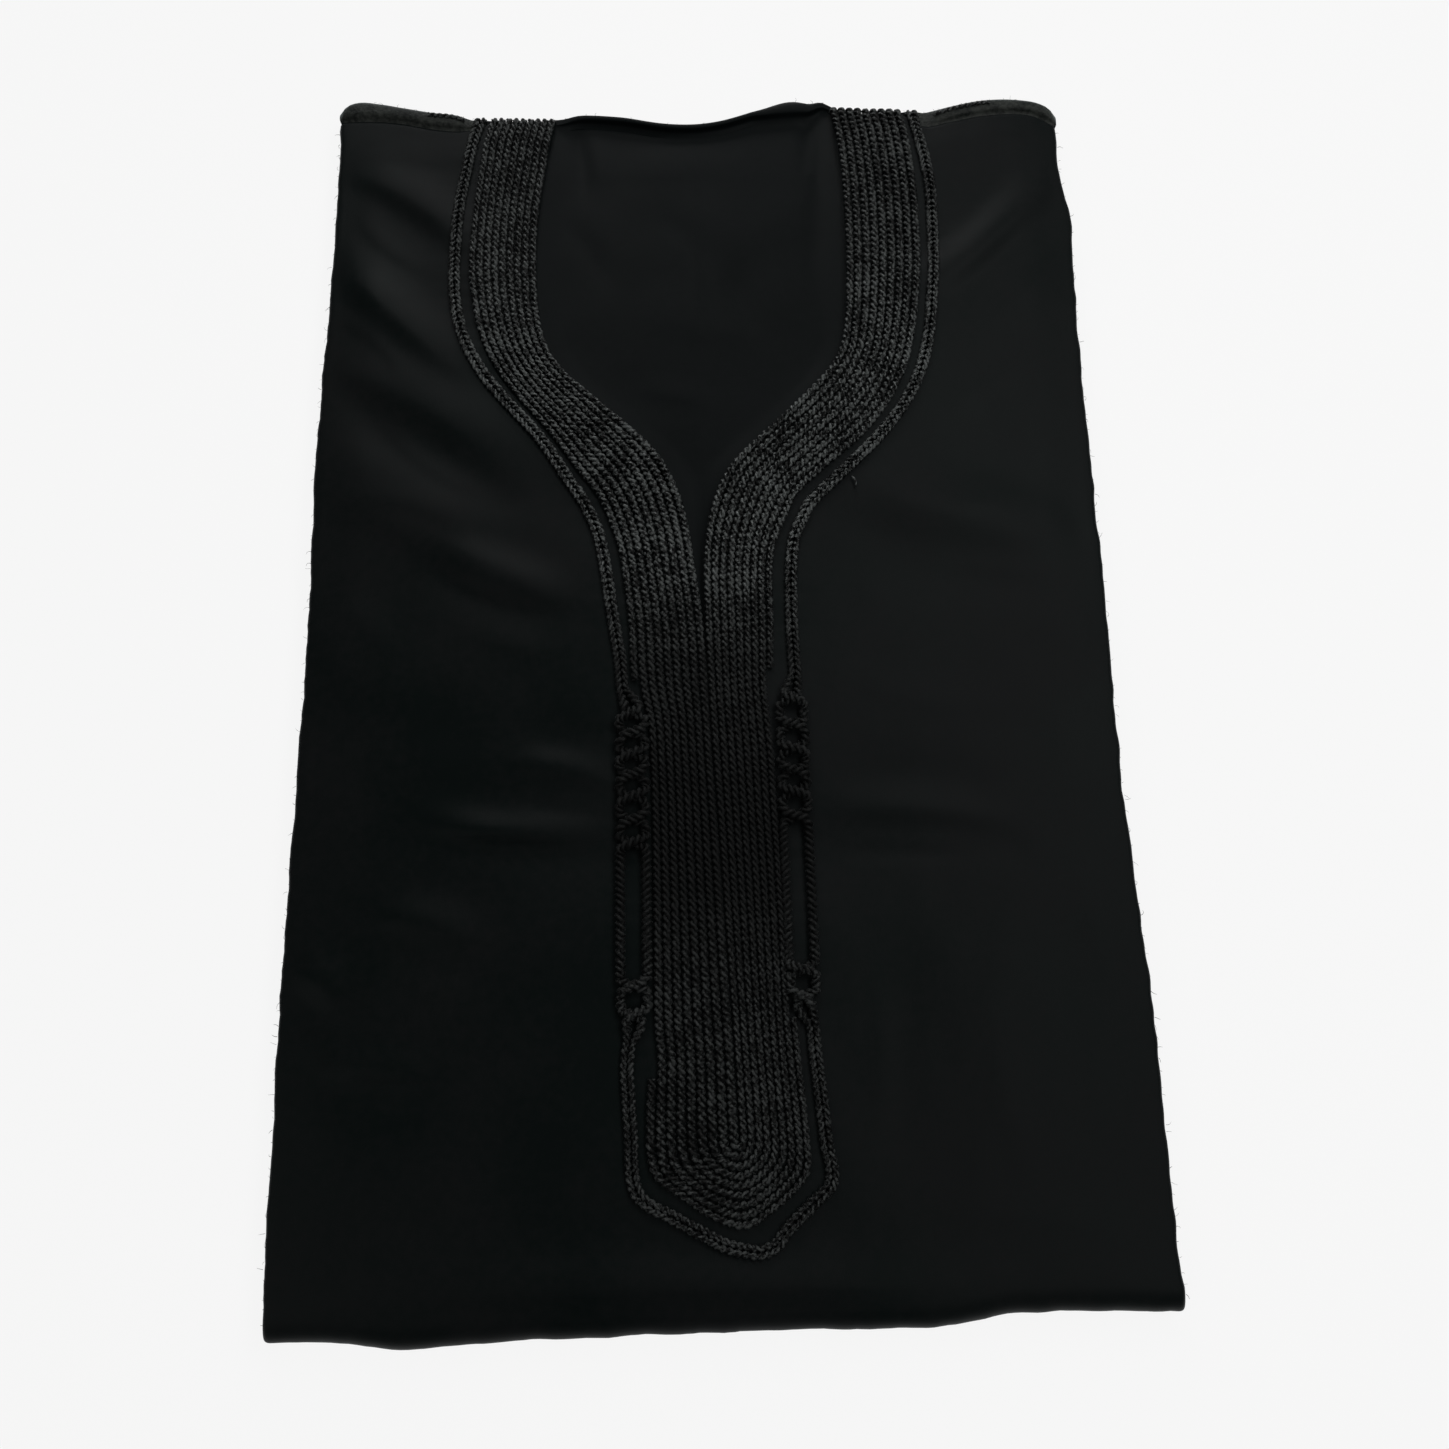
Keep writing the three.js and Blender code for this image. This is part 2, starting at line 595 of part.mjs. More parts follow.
// Hidden layers.
// A flat layer with rounded edges: outline moved in from the packet's by the given amounts.
function layerOutline(sideInset, endInset) {
  const ends = [];
  const steps = 9;
  for (let i = 0; i <= steps; i += 1) {
    const share = mix(-1, 1, i / steps);
    const x = share * (LAYER_HALF - sideInset);
    const corner = 5 * share ** 8;
    const neck = 22 * ease(-100, -76, x) * (1 - ease(76, 100, x));
    const high = along(SHOULDER, "x", "fold", x) - endInset - corner - neck;
    ends.push({ x, low: along(BOTTOM, "x", "y", x) + 15 + corner, high });
  }
  const low = ends.map((e) => [e.x, e.low]);
  const high = ends.map((e) => [e.x, e.high]).reverse();
  const ys = [-236, -171, -101, -20, 60, 140, 228];
  const right = ys.map((y) => [sideEdge("right", y) - sideInset, y]);
  const left = ys.map((y) => [sideEdge("left", y) + sideInset, y]).reverse();
  return [...low, ...right, ...high, ...left];
}

function layer({ bottom, top, sideInset, endInset }) {
  const outline = layerOutline(sideInset, endInset);
  const height = top - bottom;
  const edge = 0.45 * height;
  const rounding = 0.32 * height;
  const profile = [
    { inset: edge, z: bottom },
    { inset: 0, z: bottom + rounding },
    { inset: 0, z: top - rounding },
    { inset: edge, z: top },
  ];
  const count = outline.length;
  const vertices = [];
  const triangles = [];
  for (const ring of profile) {
    for (let i = 0; i < count; i += 1) {
      const [ax, ay] = outline[(i + count - 1) % count];
      const [bx, by] = outline[(i + 1) % count];
      const length = Math.hypot(bx - ax, by - ay);
      const x = outline[i][0] - ((by - ay) / length) * ring.inset;
      const y = outline[i][1] + ((bx - ax) / length) * ring.inset;
      vertices.push(x, y, ring.z);
    }
  }
  for (let r = 0; r + 1 < profile.length; r += 1) {
    for (let i = 0; i < count; i += 1) {
      const j = (i + 1) % count;
      const a = r * count + i;
      const b = r * count + j;
      triangles.push(a, b, b + count, a, b + count, a + count);
    }
  }
  const cap = THREE.ShapeUtils.triangulateShape(outline.map(([x, y]) => new THREE.Vector2(x, y)), []);
  const lift = (profile.length - 1) * count;
  for (const [a, b, c] of cap) {
    triangles.push(a, c, b);
    triangles.push(a + lift, b + lift, c + lift);
  }
  return solid(vertices, triangles);
}

function solid(vertices, triangles) {
  const mesh = new wasm.Mesh({
    numProp: 3,
    vertProperties: new Float32Array(vertices),
    triVerts: new Uint32Array(triangles),
  });
  mesh.merge();
  return new wasm.Manifold(mesh);
}

// Middle of the stack: flat below, following the panels that lie on it above, thinner towards the bend.
const CORE_COLUMNS = [-1, -0.84, -0.68, -0.54, -0.42, -0.28, -0.1, 0.1, 0.26, 0.4, 0.54, 0.74, 1];
const CORE_ROWS = [
  -286, -258, -222, -186, -150, -118, -84, -62, -52, -20, 20, 60, 96, 126, 156, 196, 236, 266,
];
const BACK_END = -60;
const BEND_THINNING = 2.4;

function core() {
  const xs = CORE_COLUMNS.map((share) => share * CORE_HALF);
  const thinning = (y) => BEND_THINNING * ease(-272, BEND_START, y);
  const points = [];
  for (const y of CORE_ROWS) {
    for (const x of xs) {
      const level = y > BACK_END ? backHeight(x, y) : lowestFront(x, y, FRONT_SLACK);
      points.push([x, y, level - CLOTH - LIE - CORE_GAP - thinning(y)]);
    }
  }
  const nx = xs.length;
  const ny = CORE_ROWS.length;
  const count = points.length;
  for (let i = 0; i < count; i += 1) {
    const [x, y] = points[i];
    const fromSide = sideEdge("right", y) - Math.abs(x) - 2;
    const rise = DROOP * (1 - ease(0, SIDE_SLOPE, fromSide)) + thinning(y);
    points.push([x, y, CLOTH + SEAM + rise]);
  }
  const triangles = [];
  for (let r = 0; r + 1 < ny; r += 1) {
    for (let c = 0; c + 1 < nx; c += 1) {
      const a = r * nx + c;
      triangles.push(a, a + 1, a + nx + 1, a, a + nx + 1, a + nx);
      const b = a + count;
      triangles.push(b, b + nx + 1, b + 1, b, b + nx, b + nx + 1);
    }
  }
  const rim = [];
  for (let c = 0; c < nx; c += 1) rim.push(c);
  for (let r = 1; r < ny; r += 1) rim.push(r * nx + nx - 1);
  for (let c = nx - 2; c >= 0; c -= 1) rim.push((ny - 1) * nx + c);
  for (let r = ny - 2; r > 0; r -= 1) rim.push(r * nx);
  rim.forEach((a, i) => {
    const b = rim[(i + 1) % rim.length];
    triangles.push(a, a + count, b + count, a, b + count, b);
  });
  return solid(points.flat(), triangles);
}

const LAYERS = [
  { bottom: 1.65, top: 3.55, sideInset: 24, endInset: 7 },
  { bottom: 3.85, top: 5.75, sideInset: 24, endInset: 4.6 },
  { bottom: 6.1, top: 7.36, sideInset: 4.2, endInset: 5.6 },
  { bottom: 7.64, top: 8.9, sideInset: 2.8, endInset: 3.8 },
];

function foldedLayers(colour) {
  const joined = LAYERS.reduce((all, next) => all.add(layer(next)), core());
  const mesh = joined.getMesh();
  const points = [];
  for (let i = 0; i < mesh.numVert; i += 1) {
    const at = i * mesh.numProp;
    points.push(new THREE.Vector3(...mesh.vertProperties.slice(at, at + 3)));
  }
  const triangles = [];
  for (let i = 0; i < mesh.numTri; i += 1) triangles.push([...mesh.triVerts.slice(3 * i, 3 * i + 3)]);
  return finish("folded_layers", points, triangles, colour);
}

// Cords.
// Section of a cord: share of half its width across and of its height up, flat below and rounded above.
const CORD_SECTION = [[-1, 0], [1, 0], [0.62, 1], [-0.62, 1]];

// A cord laid on the front along a path; each step may be lifted over what it crosses.
function cord(name, path, height, colour, ground = frontHeight) {
  const points = [];
  const triangles = [];
  const last = path.length - 1;
  path.forEach((step, i) => {
    const before = path[Math.max(0, i - 1)];
    const after = path[Math.min(last, i + 1)];
    const length = Math.hypot(after.x - before.x, after.y - before.y);
    const nx = (after.y - before.y) / length;
    const ny = (before.x - after.x) / length;
    const half = step.width / 2;
    const lift = SEAM + 0.06 + (step.lift || 0);
    for (const [across, up] of CORD_SECTION) {
      const x = step.x + nx * half * across;
      const y = step.y + ny * half * across;
      points.push(new THREE.Vector3(x, y, ground(up ? step.x : x, up ? step.y : y) + lift + up * height));
    }
  });
  for (let i = 0; i < last; i += 1) {
    for (let k = 0; k < 4; k += 1) {
      const a = 4 * i + k;
      const b = 4 * i + ((k + 1) % 4);
      triangles.push([a, b + 4, b], [a, a + 4, b + 4]);
    }
  }
  triangles.push([0, 2, 3], [0, 1, 2]);
  const end = 4 * last;
  triangles.push([end, end + 2, end + 1], [end, end + 3, end + 2]);
  return finish(name, points, triangles, colour);
}

// Stations used for the cords: close together in the curves, further apart where the trim is straight.
const CURVE_START = 6;
const CURVE_END = 19;

function stations(from, to) {
  const list = [];
  let s = from;
  while (s < to - 1e-6) {
    list.push(s);
    s += s >= CURVE_START && s < CURVE_END ? 1 : 1.5;
  }
  list.push(to);
  return list;
}

function rowPoints(side, list, row) {
  return list.map((station) => rowPoint(side, station, row));
}

function withWidth(points) {
  return points.map((p) => ({ x: p.x, y: p.y, width: p.pitch * p.fill }));
}

function rowPath(row) {
  const down = rowPoints("left", stations(0, LAST_STATION), row);
  const up = rowPoints("right", stations(0, LAST_STATION), row).reverse();
  const even = row < 4 ? 6 : 10;
  const turn = [];
  for (let i = 1; i < even; i += 1) turn.push(tabPoint(mix(180, 360, i / even), row));
  const pointed = TAB.slice(1, -1).map((step) => tabPoint(step.angle, row));
  return withWidth([...down, ...(row > 5 ? pointed : turn), ...up]);
}

// The ninth row stops beside the slit and starts again round the tab.
const OUTER_ROW = {
  leftEnd: -20,
  rightEnd: -17,
  tabLeft: [-198, -210],
  tabRight: [-205, -186, -176],
};

function outerRowPaths() {
  const row = ROW_COUNT;
  const at = (side, heights) => heights.map((y) => stationAt(side, y));
  const leftNeck = rowPoints("left", stations(0, stationAt("left", OUTER_ROW.leftEnd)), row);
  const rightNeck = rowPoints("right", stations(0, stationAt("right", OUTER_ROW.rightEnd)), row);
  const tab = [
    ...rowPoints("left", at("left", OUTER_ROW.tabLeft), row),
    ...TAB.map((turn) => tabPoint(turn.angle, row)),
    ...rowPoints("right", at("right", OUTER_ROW.tabRight), row),
  ];
  return { left: withWidth(leftNeck), right: withWidth(rightNeck), tab: withWidth(tab) };
}

// Spread of the edge cords about their middle line and which of them is on top, at a height y.
function chainAt(chain, y, first) {
  const list = chain.crossings;
  let passed = 0;
  while (passed < list.length && y < list[passed]) passed += 1;
  const near = list.reduce((best, c) => (Math.abs(c - y) < Math.abs(best - y) ? c : best));
  const gap = Math.abs(near - y);
  const sign = (passed % 2 === 0 ? 1 : -1) * first;
  const outside = passed === 0 || passed === list.length;
  const open = Math.sin((Math.PI / 2) * Math.min(1, gap / EYELET_HALF));
  const calm = ease(3, 13, gap);
  const spread = outside ? mix(open * 3.2, EDGE_CORD_PITCH / 2, calm) : open * chain.spread;
  const over = list.indexOf(near) % 2 === 0 ? 1 : -1;
  const lift = CROSSING_LIFT * (1 - ease(2, 4.6, gap));
  return { spread: sign * spread, over: over * first, lift, inside: outside ? 1 - ease(2, 14, gap) : 1 };
}

function edgeCordPath(which) {
  const cordSide = which === "inner" ? 1 : -1;
  const path = [];
  const trace = (side, first) => {
    const chain = CHAINS[side];
    const outward = side === "left" ? -1 : 1;
    const top = chain.crossings[0];
    const low = chain.crossings[chain.crossings.length - 1];
    const steps = stations(0, stationAt(side, top + 10)).map((s) => ({ s }));
    const heights = [];
    chain.crossings.forEach((c, i) => {
      const next = chain.crossings[i + 1] ?? c - 10;
      const before = i === 0 ? c + 10 : chain.crossings[i - 1];
      if (i === 0) heights.push(c + 5);
      heights.push(c + Math.min(2.1, (before - c) * 0.22), c, c - Math.min(2.1, (c - next) * 0.22), c - 5);
      if (c - next > 20) heights.push(mix(c, next, 0.35), mix(c, next, 0.65), next + 5);
    });
    heights.push(low - 11);
    for (const y of heights) steps.push({ s: stationAt(side, y), y });
    for (const y of [-198, -212, -225]) steps.push({ s: stationAt(side, y) });
    return steps.map(({ s }) => {
      const y = along(TRIM[side], "station", "y", s);
      const state = chainAt(chain, y, first);
      const edge = along(TRIM[side], "station", "edge", s) - EDGE_CORD_PITCH;
      const plain = trimPoint(side, s, edge - cordSide * state.spread);
      const weave = chain.centre - outward * cordSide * state.spread;
      const x = mix(plain.x, weave, state.inside);
      const onTop = state.over * cordSide > 0;
      return { x, y: plain.y, width: EDGE_CORD_WIDTH, lift: onTop ? state.lift : 0 };
    });
  };
  const leftFlips = CHAINS.left.crossings.length % 2;
  const tabSide = leftFlips ? -cordSide : cordSide;
  const rightFirst = (leftFlips + CHAINS.right.crossings.length) % 2 ? -1 : 1;
  path.push(...trace("left", 1));
  for (const turn of TAB) {
    const radians = toRadians(turn.angle);
    const radius = turn.edge - EDGE_CORD_PITCH - (tabSide * EDGE_CORD_PITCH) / 2;
    const x = TAB_CENTRE.x + radius * Math.cos(radians);
    const y = TAB_CENTRE.y + radius * Math.sin(radians);
    path.push({ x, y, width: EDGE_CORD_WIDTH });
  }
  path.push(...trace("right", rightFirst).reverse());
  return path;
}

// Short cords sewn along the shoulder folds beside the neck.
function shoulderCord(name, from, to, colour) {
  const path = [];
  for (let i = 0; i <= 6; i += 1) {
    const x = mix(from, to, i / 6);
    const y = along(SHOULDER, "x", "fold", x) - SHOULDER_CORD.inFromFold;
    path.push({ x, y, width: SHOULDER_CORD.width });
  }
  const ground = () => TOP - CLOTH - LIE - BACK_DROOP + SHOULDER_CORD.overBack;
  return cord(name, path, SHOULDER_CORD.height, colour, ground);
}

// The part.
const BLACK_CLOTH = 0x1a2020;
const BLACK_INSIDE = 0x161b1b;
const BLACK_CORD = 0x20272a;

const group = new THREE.Group();
group.name = "kandora";
group.add(frontPanel(BLACK_CLOTH));
group.add(backPanel(BLACK_INSIDE));
group.add(foldedLayers(BLACK_CLOTH));
for (let row = 1; row < ROW_COUNT; row += 1) {
  group.add(cord(`neck_cord_${row}`, rowPath(row), CORD_HEIGHT, BLACK_CORD));
}
for (const [place, path] of Object.entries(outerRowPaths())) {
  group.add(cord(`neck_cord_9_${place}`, path, CORD_HEIGHT, BLACK_CORD));
}
for (const which of ["inner", "outer"]) {
  group.add(cord(`edge_cord_${which}`, edgeCordPath(which), EDGE_CORD_HEIGHT, BLACK_CORD));
}
group.add(shoulderCord("shoulder_cord_left", -143, -124, BLACK_CORD));
group.add(shoulderCord("shoulder_cord_right", 124, 154, BLACK_CORD));

// Centre the whole part on its frame.
const box = new THREE.Box3();
for (const { geometry } of group.children) {
  geometry.computeBoundingBox();
  box.union(geometry.boundingBox);
}
const centre = box.getCenter(new THREE.Vector3());
for (const { geometry } of group.children) geometry.translate(-centre.x, -centre.y, -box.min.z);

export default group;
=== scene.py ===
import math

import bpy
import numpy as np
from mathutils import Matrix


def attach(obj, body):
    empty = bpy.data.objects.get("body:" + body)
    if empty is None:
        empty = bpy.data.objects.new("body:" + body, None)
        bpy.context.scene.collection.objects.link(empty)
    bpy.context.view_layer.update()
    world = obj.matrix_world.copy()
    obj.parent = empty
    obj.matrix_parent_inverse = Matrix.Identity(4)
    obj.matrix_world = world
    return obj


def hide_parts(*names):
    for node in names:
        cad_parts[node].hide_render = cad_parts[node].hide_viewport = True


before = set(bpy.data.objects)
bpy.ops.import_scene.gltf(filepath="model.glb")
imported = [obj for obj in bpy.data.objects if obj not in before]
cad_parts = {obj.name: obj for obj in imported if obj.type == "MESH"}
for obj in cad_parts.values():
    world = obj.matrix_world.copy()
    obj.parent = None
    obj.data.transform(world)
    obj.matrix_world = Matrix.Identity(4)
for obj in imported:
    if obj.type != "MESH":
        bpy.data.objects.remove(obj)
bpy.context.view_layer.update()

MM = 0.001
IMAGE_SIZE = 1449
CENTRE_SHIFT = np.array([-0.008, 0.103, 0.0])

# Sizes of the packet, as in the part. LIE is the gap between loose layers, DROOP how far the top sinks
# towards its edges, ROLL the height of a side fold, HOOK how far it turns in, and AXIS the middle height.
CLOTH = 1.3
LIE = 0.45
TOP = 15.0
AXIS = TOP / 2
DROOP = 1.0
ROLL = 4.8
HOOK = 8.0
BEND_STRETCH = 1.55
OPENING_DIP = 1.9
ROW_COUNT = 9
CORD_SEAT = 0.3
EDGE_CORD_PITCH = 3.05
EDGE_CORD_WIDTH = 3.2
CHAIN_CORD_WIDTH = 4.9
CROSSING_LIFT = 2.3
EYELET_HALF = 3.3

# How finely the cloth and the cords are made.
FLAT_COLUMNS = 62
ROLL_STEPS = 8
ROW_STEP = 2.7
CORD_STEP = 0.75
STRAND_SIDES = 6
STRANDS = 2
TWIST_LENGTH = 6.6


def table(columns, rows):
    """A table of numbers with named columns."""
    values = np.array(rows, float)
    return {name: values[:, i] for i, name in enumerate(columns.split())}


# Side edges of the packet, seen from above.
SIDES = table("y left right", [
    (-300, -188.2, 187.4), (-267, -189.8, 185.6), (-236, -189.6, 186), (-171, -190.2, 186.6),
    (-101, -189.6, 184.6), (-53, -189, 184.2), (12, -188.4, 185.8), (94, -189.8, 186.4),
    (160, -188.4, 187.2), (204, -187.4, 188.9), (228, -187.3, 190.2), (252, -187.3, 187.4),
    (280, -187.5, 187), (300, -187.8, 186.2),
])

# Bottom fold.
BOTTOM = table("x y", [
    (-190, -297), (-174, -296.3), (-158, -298), (-137, -302.2), (-114, -301.4), (-78, -300.2),
    (31, -299.7), (79, -299.5), (97, -297.6), (116, -295.3), (159, -295.4), (190, -296),
])

# How much further out the soft cloth lies than the solid: at the sides, the shoulder and the bottom fold.
SIDE_SPREAD = {"left": -1.0, "right": 1.4}
FOLD_SPREAD = 2.7
BOTTOM_SPREAD = table("x out", [
    (-190, 3.4), (-168, 2.6), (-150, 1.6), (-130, 0.9), (-60, 0.9), (20, 0.6), (60, 1.2), (90, 2.0),
    (130, 1.4), (165, 1.8), (180, 2.6), (190, 3.4),
])
CORNER_FILL = 0.6

# Shoulder end: the cut edge of the front panel, and the turned edge of the back behind it.
SHOULDER = table("x front fold rise", [
    (-190, 290.6, 297.6, 1), (-179, 291.4, 301.4, 1), (-168, 291.3, 300.2, 1), (-157, 290, 297.6, 1),
    (-142, 286.8, 295, 1), (-128, 285.2, 293, 1), (-118, 286.4, 289.4, 0), (-108, 289, 288, 0),
    (-90, 289, 287.8, 0), (-76, 290, 289.6, 0), (-63, 291, 292.6, 0.7), (-43, 291, 290.9, 1),
    (-11, 291, 286.3, 1), (10, 291, 288.4, 1), (31, 292, 295.7, 1), (48, 293, 301, 1),
    (62, 294, 298, 0.7), (74, 293, 292, 0), (90, 291.4, 290.2, 0), (106, 291, 290, 0),
    (118, 287.2, 293.8, 0), (133, 290.4, 298, 0.9), (152, 294.4, 301.8, 1), (176, 294.4, 301.2, 1),
    (190, 286, 295, 1),
])

# Largest folds of the front: a soft ridge, or a trough where the height is below 0.
FOLDS = table("x0 y0 x1 y1 width height", [
    (-186, 206, -140, 150, 20, 1.1), (-168, 245, -128, 208, 16, -0.9), (-178, 126, -100, 70, 17, -1.3),
    (-184, 98, -66, 44, 20, 1.2), (-124, 32, -80, 12, 14, -0.9), (-150, -58, -54, -76, 20, 0.8),
    (-130, -97, -50, -101, 13, -0.8), (48, -99, 130, -101, 11, -0.8), (-148, -141, -108, -152, 13, -0.9),
    (-186, -160, -166, -178, 12, -0.9), (-162, -204, -126, -210, 13, -0.8),
    (184, 250, 128, 184, 16, -1.2), (176, 206, 140, 160, 18, 0.8), (70, 82, 168, 57, 20, 1),
    (96, 30, 172, 18, 18, -0.6), (130, -130, 138, -262, 26, 0.7), (78, -150, 70, -250, 18, -0.5),
])

# Finer creases of the front, each with a sideways bow and its own width and height.
CREASES = table("x0 y0 x1 y1 bow width height", [
    (-190, 150, -90, 82, 6, 15, 2.3), (-194, 88, -52, 20, -5, 17, 2.0), (-130, 44, -68, 20, -3, 10, 3.8),
    (-192, 214, -116, 140, -4, 12, 2.9), (-186, 262, -116, 210, 5, 11, 2.3),
    (-96, -60, -42, -70, 2, 8, 2.0), (-138, -84, -44, -90, -4, 8, 3.2), (46, -84, 134, -90, 3, 8, 2.0),
    (-192, -148, -160, -165, 2, 9, 2.4), (-154, -128, -104, -140, 3, 8, 2.2),
    (-158, -280, 104, -284, 0, 10, 2.6), (-170, -192, -120, -198, 2, 8, 2.0),
    (106, 183, 187, 262, -6, 11, 3.8), (62, 78, 176, 50, -6, 20, 2.2),
    (-128, -100, 118, -104, 0, 38, -2.8), (120, 20, 190, -10, 6, 22, 0.8),
    (-190, 10, -120, -30, -8, 24, 0.9), (96, -130, 110, -270, 8, 22, 0.8),
    (-120, -180, -40, -250, 6, 24, 0.7), (-182, 268, -128, 262, 4, 5.5, 0.35),
    (-176, 232, -140, 200, -4, 5, 0.4), (-188, 176, -150, 140, 5, 6, 0.5),
    (-160, 118, -104, 74, -6, 6.5, 0.55), (-176, 74, -112, 56, 5, 6, 0.4),
    (-128, 40, -84, 20, 3, 5, -0.45), (-116, 6, -70, -6, -3, 6, 0.35), (-182, 20, -150, -8, 6, 8, 0.35),
    (-96, -58, -52, -66, 2, 4.5, 0.4), (-88, -78, -50, -84, -2, 4, -0.5),
    (-126, -92, -64, -98, 3, 4.5, 0.5), (46, -96, 124, -99, -2, 4, 0.45),
    (60, -106, 112, -108, 3, 5, -0.35), (-146, -138, -110, -149, 4, 5, 0.45),
    (-160, -166, -118, -176, -4, 6, 0.3), (-184, -158, -168, -172, 3, 4.5, 0.45),
    (-160, -200, -128, -206, -3, 4.5, 0.4), (-150, -286, -142, -262, 2, 4, 0.4),
    (-178, -250, -120, -244, 8, 8, 0.3), (178, 244, 134, 190, 6, 6, 0.5),
    (184, 216, 150, 176, -5, 6, -0.4), (160, 150, 112, 120, 5, 6, 0.35), (74, 78, 150, 60, -6, 7, 0.4),
    (104, 34, 176, 22, 4, 6, 0.3), (60, -20, 150, -34, -7, 8, 0.28), (66, -160, 60, -236, 4, 6, 0.35),
    (118, -150, 128, -250, -6, 8, 0.35), (164, -120, 170, -230, 5, 7, 0.3),
    (90, -260, 170, -268, 5, 7, 0.3), (-60, -276, 70, -280, -4, 6, 0.3),
])

# Creases of the back panel where it shows in the neck opening.
BACK_CREASES = table("x0 y0 x1 y1 bow width height", [
    (-8, 284, -6, 96, 2, 3, 0.25), (-24, 236, 2, 196, 4, 9, -0.8), (14, 206, 34, 156, -4, 9, -0.8),
    (-62, 262, 54, 268, 6, 14, 1.1), (-66, 150, -20, 104, -5, 7, 0.5), (50, 150, 8, 96, 4, 7, 0.5),
    (-72, 232, -50, 186, 3, 7, -0.7), (62, 262, 56, 176, -3, 6, -0.7), (-40, 132, 6, 122, 3, 6, 0.4),
    (-70, 298, -62, 244, 2, 5, -1.4), (56, 304, 66, 244, -2, 6, -1.6), (-56, 288, -14, 284, 2, 4, 0.9),
    (-30, 176, 40, 168, -5, 14, 0.6),
])

# Neck trim, from the shoulder down to the tab: inner edge, width of the rows,
# distance from the inner edge to the outside of the edge cords, rows side by side.
LEFT_TRIM = table("x y band edge rows", [
    (-76.5, 288.6, 34, 42.5, 9), (-79, 275, 34.5, 43, 9), (-80.8, 260, 34.5, 43.6, 9),
    (-83.5, 240, 34, 44, 9), (-84.8, 220, 34, 44, 9), (-85, 200, 34.4, 44.6, 9), (-84.2, 182, 33, 44, 9),
    (-82.4, 168, 31.4, 42, 9), (-79.2, 156, 29, 38.6, 9), (-74.6, 147, 27.4, 36, 9),
    (-68.6, 139.4, 27.6, 35.6, 9), (-61, 132, 29, 37, 9), (-52, 123.5, 31.4, 39.6, 9),
    (-42, 114, 34.6, 43.4, 9), (-32, 104, 36.6, 46, 9), (-24, 94, 37.3, 47, 9),
    (-18.2, 83, 37.5, 47.2, 9), (-14.2, 72, 37.3, 46.8, 9), (-11.4, 60, 36.4, 46, 9),
    (-9.6, 48, 35.2, 45.4, 9), (-7.9, 34, 35, 45, 9), (-6.1, 19, 35, 44.8, 9), (-4.7, 4, 35.2, 44, 9),
    (-4, -10, 35.6, 42.8, 9), (-3.5, -25, 34.8, 42.4, 9), (-3, -40, 30.2, 42, 8.5),
    (-2.2, -58, 28.3, 42, 8), (-1, -80, 29, 42, 8), (0.2, -105, 30.2, 42, 8), (1.2, -130, 31.2, 42, 8),
    (2.3, -155, 32.4, 42, 8), (3.2, -175, 34.2, 46, 8.2), (3.9, -192, 37, 48.8, 9),
    (4.5, -210, 38.7, 48.6, 9), (5, -226, 39.5, 48.2, 9),
])
RIGHT_TRIM = table("x y band edge rows", [
    (69, 291, 38, 46.5, 9), (70.8, 278, 38.2, 46.6, 9), (71.9, 262, 38.6, 48, 9), (72.4, 245, 39, 49, 9),
    (72.4, 227, 39, 48.8, 9), (72, 207, 38.8, 48, 9), (71, 187, 37.6, 47, 9), (69.6, 170, 36.3, 46.2, 9),
    (67.2, 156, 35.3, 45, 9), (62.6, 145.5, 35.3, 44.6, 9), (55.5, 136.2, 36.2, 45, 9),
    (47.2, 127.4, 36.8, 45.5, 9), (39, 119, 36, 45.5, 9), (31, 111, 35.2, 45.4, 9),
    (23, 103.4, 35, 45.4, 9), (15.6, 96, 35.6, 45.8, 9), (9.4, 88.4, 36.5, 46.6, 9),
    (4.6, 79.6, 36.9, 46.8, 9), (1, 70, 36.4, 46.2, 9), (-1.6, 60, 35.3, 45.4, 9),
    (-3.3, 49, 33.8, 45, 9), (-4.3, 35, 33, 44.6, 9), (-4.3, 20, 32.6, 44, 9), (-4.1, 4, 32.2, 43.6, 9),
    (-3.7, -10, 31.2, 43.4, 9), (-3.2, -25, 30.2, 43.2, 9), (-2.7, -40, 28.8, 42, 8.4),
    (-1.9, -58, 27.9, 42, 8), (-0.7, -80, 27.3, 41, 8), (0.5, -105, 27, 40, 8), (1.5, -130, 26.4, 39, 8),
    (2.6, -155, 25.6, 38, 8), (3.5, -175, 26.2, 37.6, 8.4), (4.2, -192, 28.4, 37.6, 9),
    (4.8, -210, 29.3, 38.6, 9), (5.3, -226, 29.8, 39.4, 9),
])

# Tab end of the trim, in degrees and millimetres from its turning point. The innermost rows are round:
# their radius is TAB_RADIUS straight down, TAB_LEAN more on the left and TAB_LEAN less on the right.
TAB_CENTRE = (5.15, -226.0)
TAB_RADIUS = 34.7
TAB_LEAN = 4.9
TAB = table("angle band edge", [
    (180, 39.6, 48.3), (190, 39.6, 49), (198, 39.2, 50), (205, 37.6, 50.2), (213, 35, 48),
    (222, 33.2, 44.6), (234, 32.6, 42.6), (247, 32.8, 42.4), (260, 34, 44.2), (270, 35, 45.6),
    (279, 34.2, 47.2), (288, 32.6, 46.6), (298, 31.3, 43), (310, 31, 41.8), (322, 31.5, 42.4),
    (334, 32.3, 44.6), (343, 31.6, 43.2), (352, 30.4, 40.6), (360, 29.8, 39.4),
])

# Where the two edge cords cross each other beside the front opening, from the top down.
CHAINS = {
    "left": {
        "centre": -38.6, "spread": 5.8,
        "crossings": [-36, -45, -54.5, -64, -74, -84.5, -95, -158.5, -170.7],
    },
    "right": {
        "centre": 34.6, "spread": 5.6,
        "crossings": [-33, -45.5, -57, -67.3, -77, -88, -156.4, -168],
    },
}

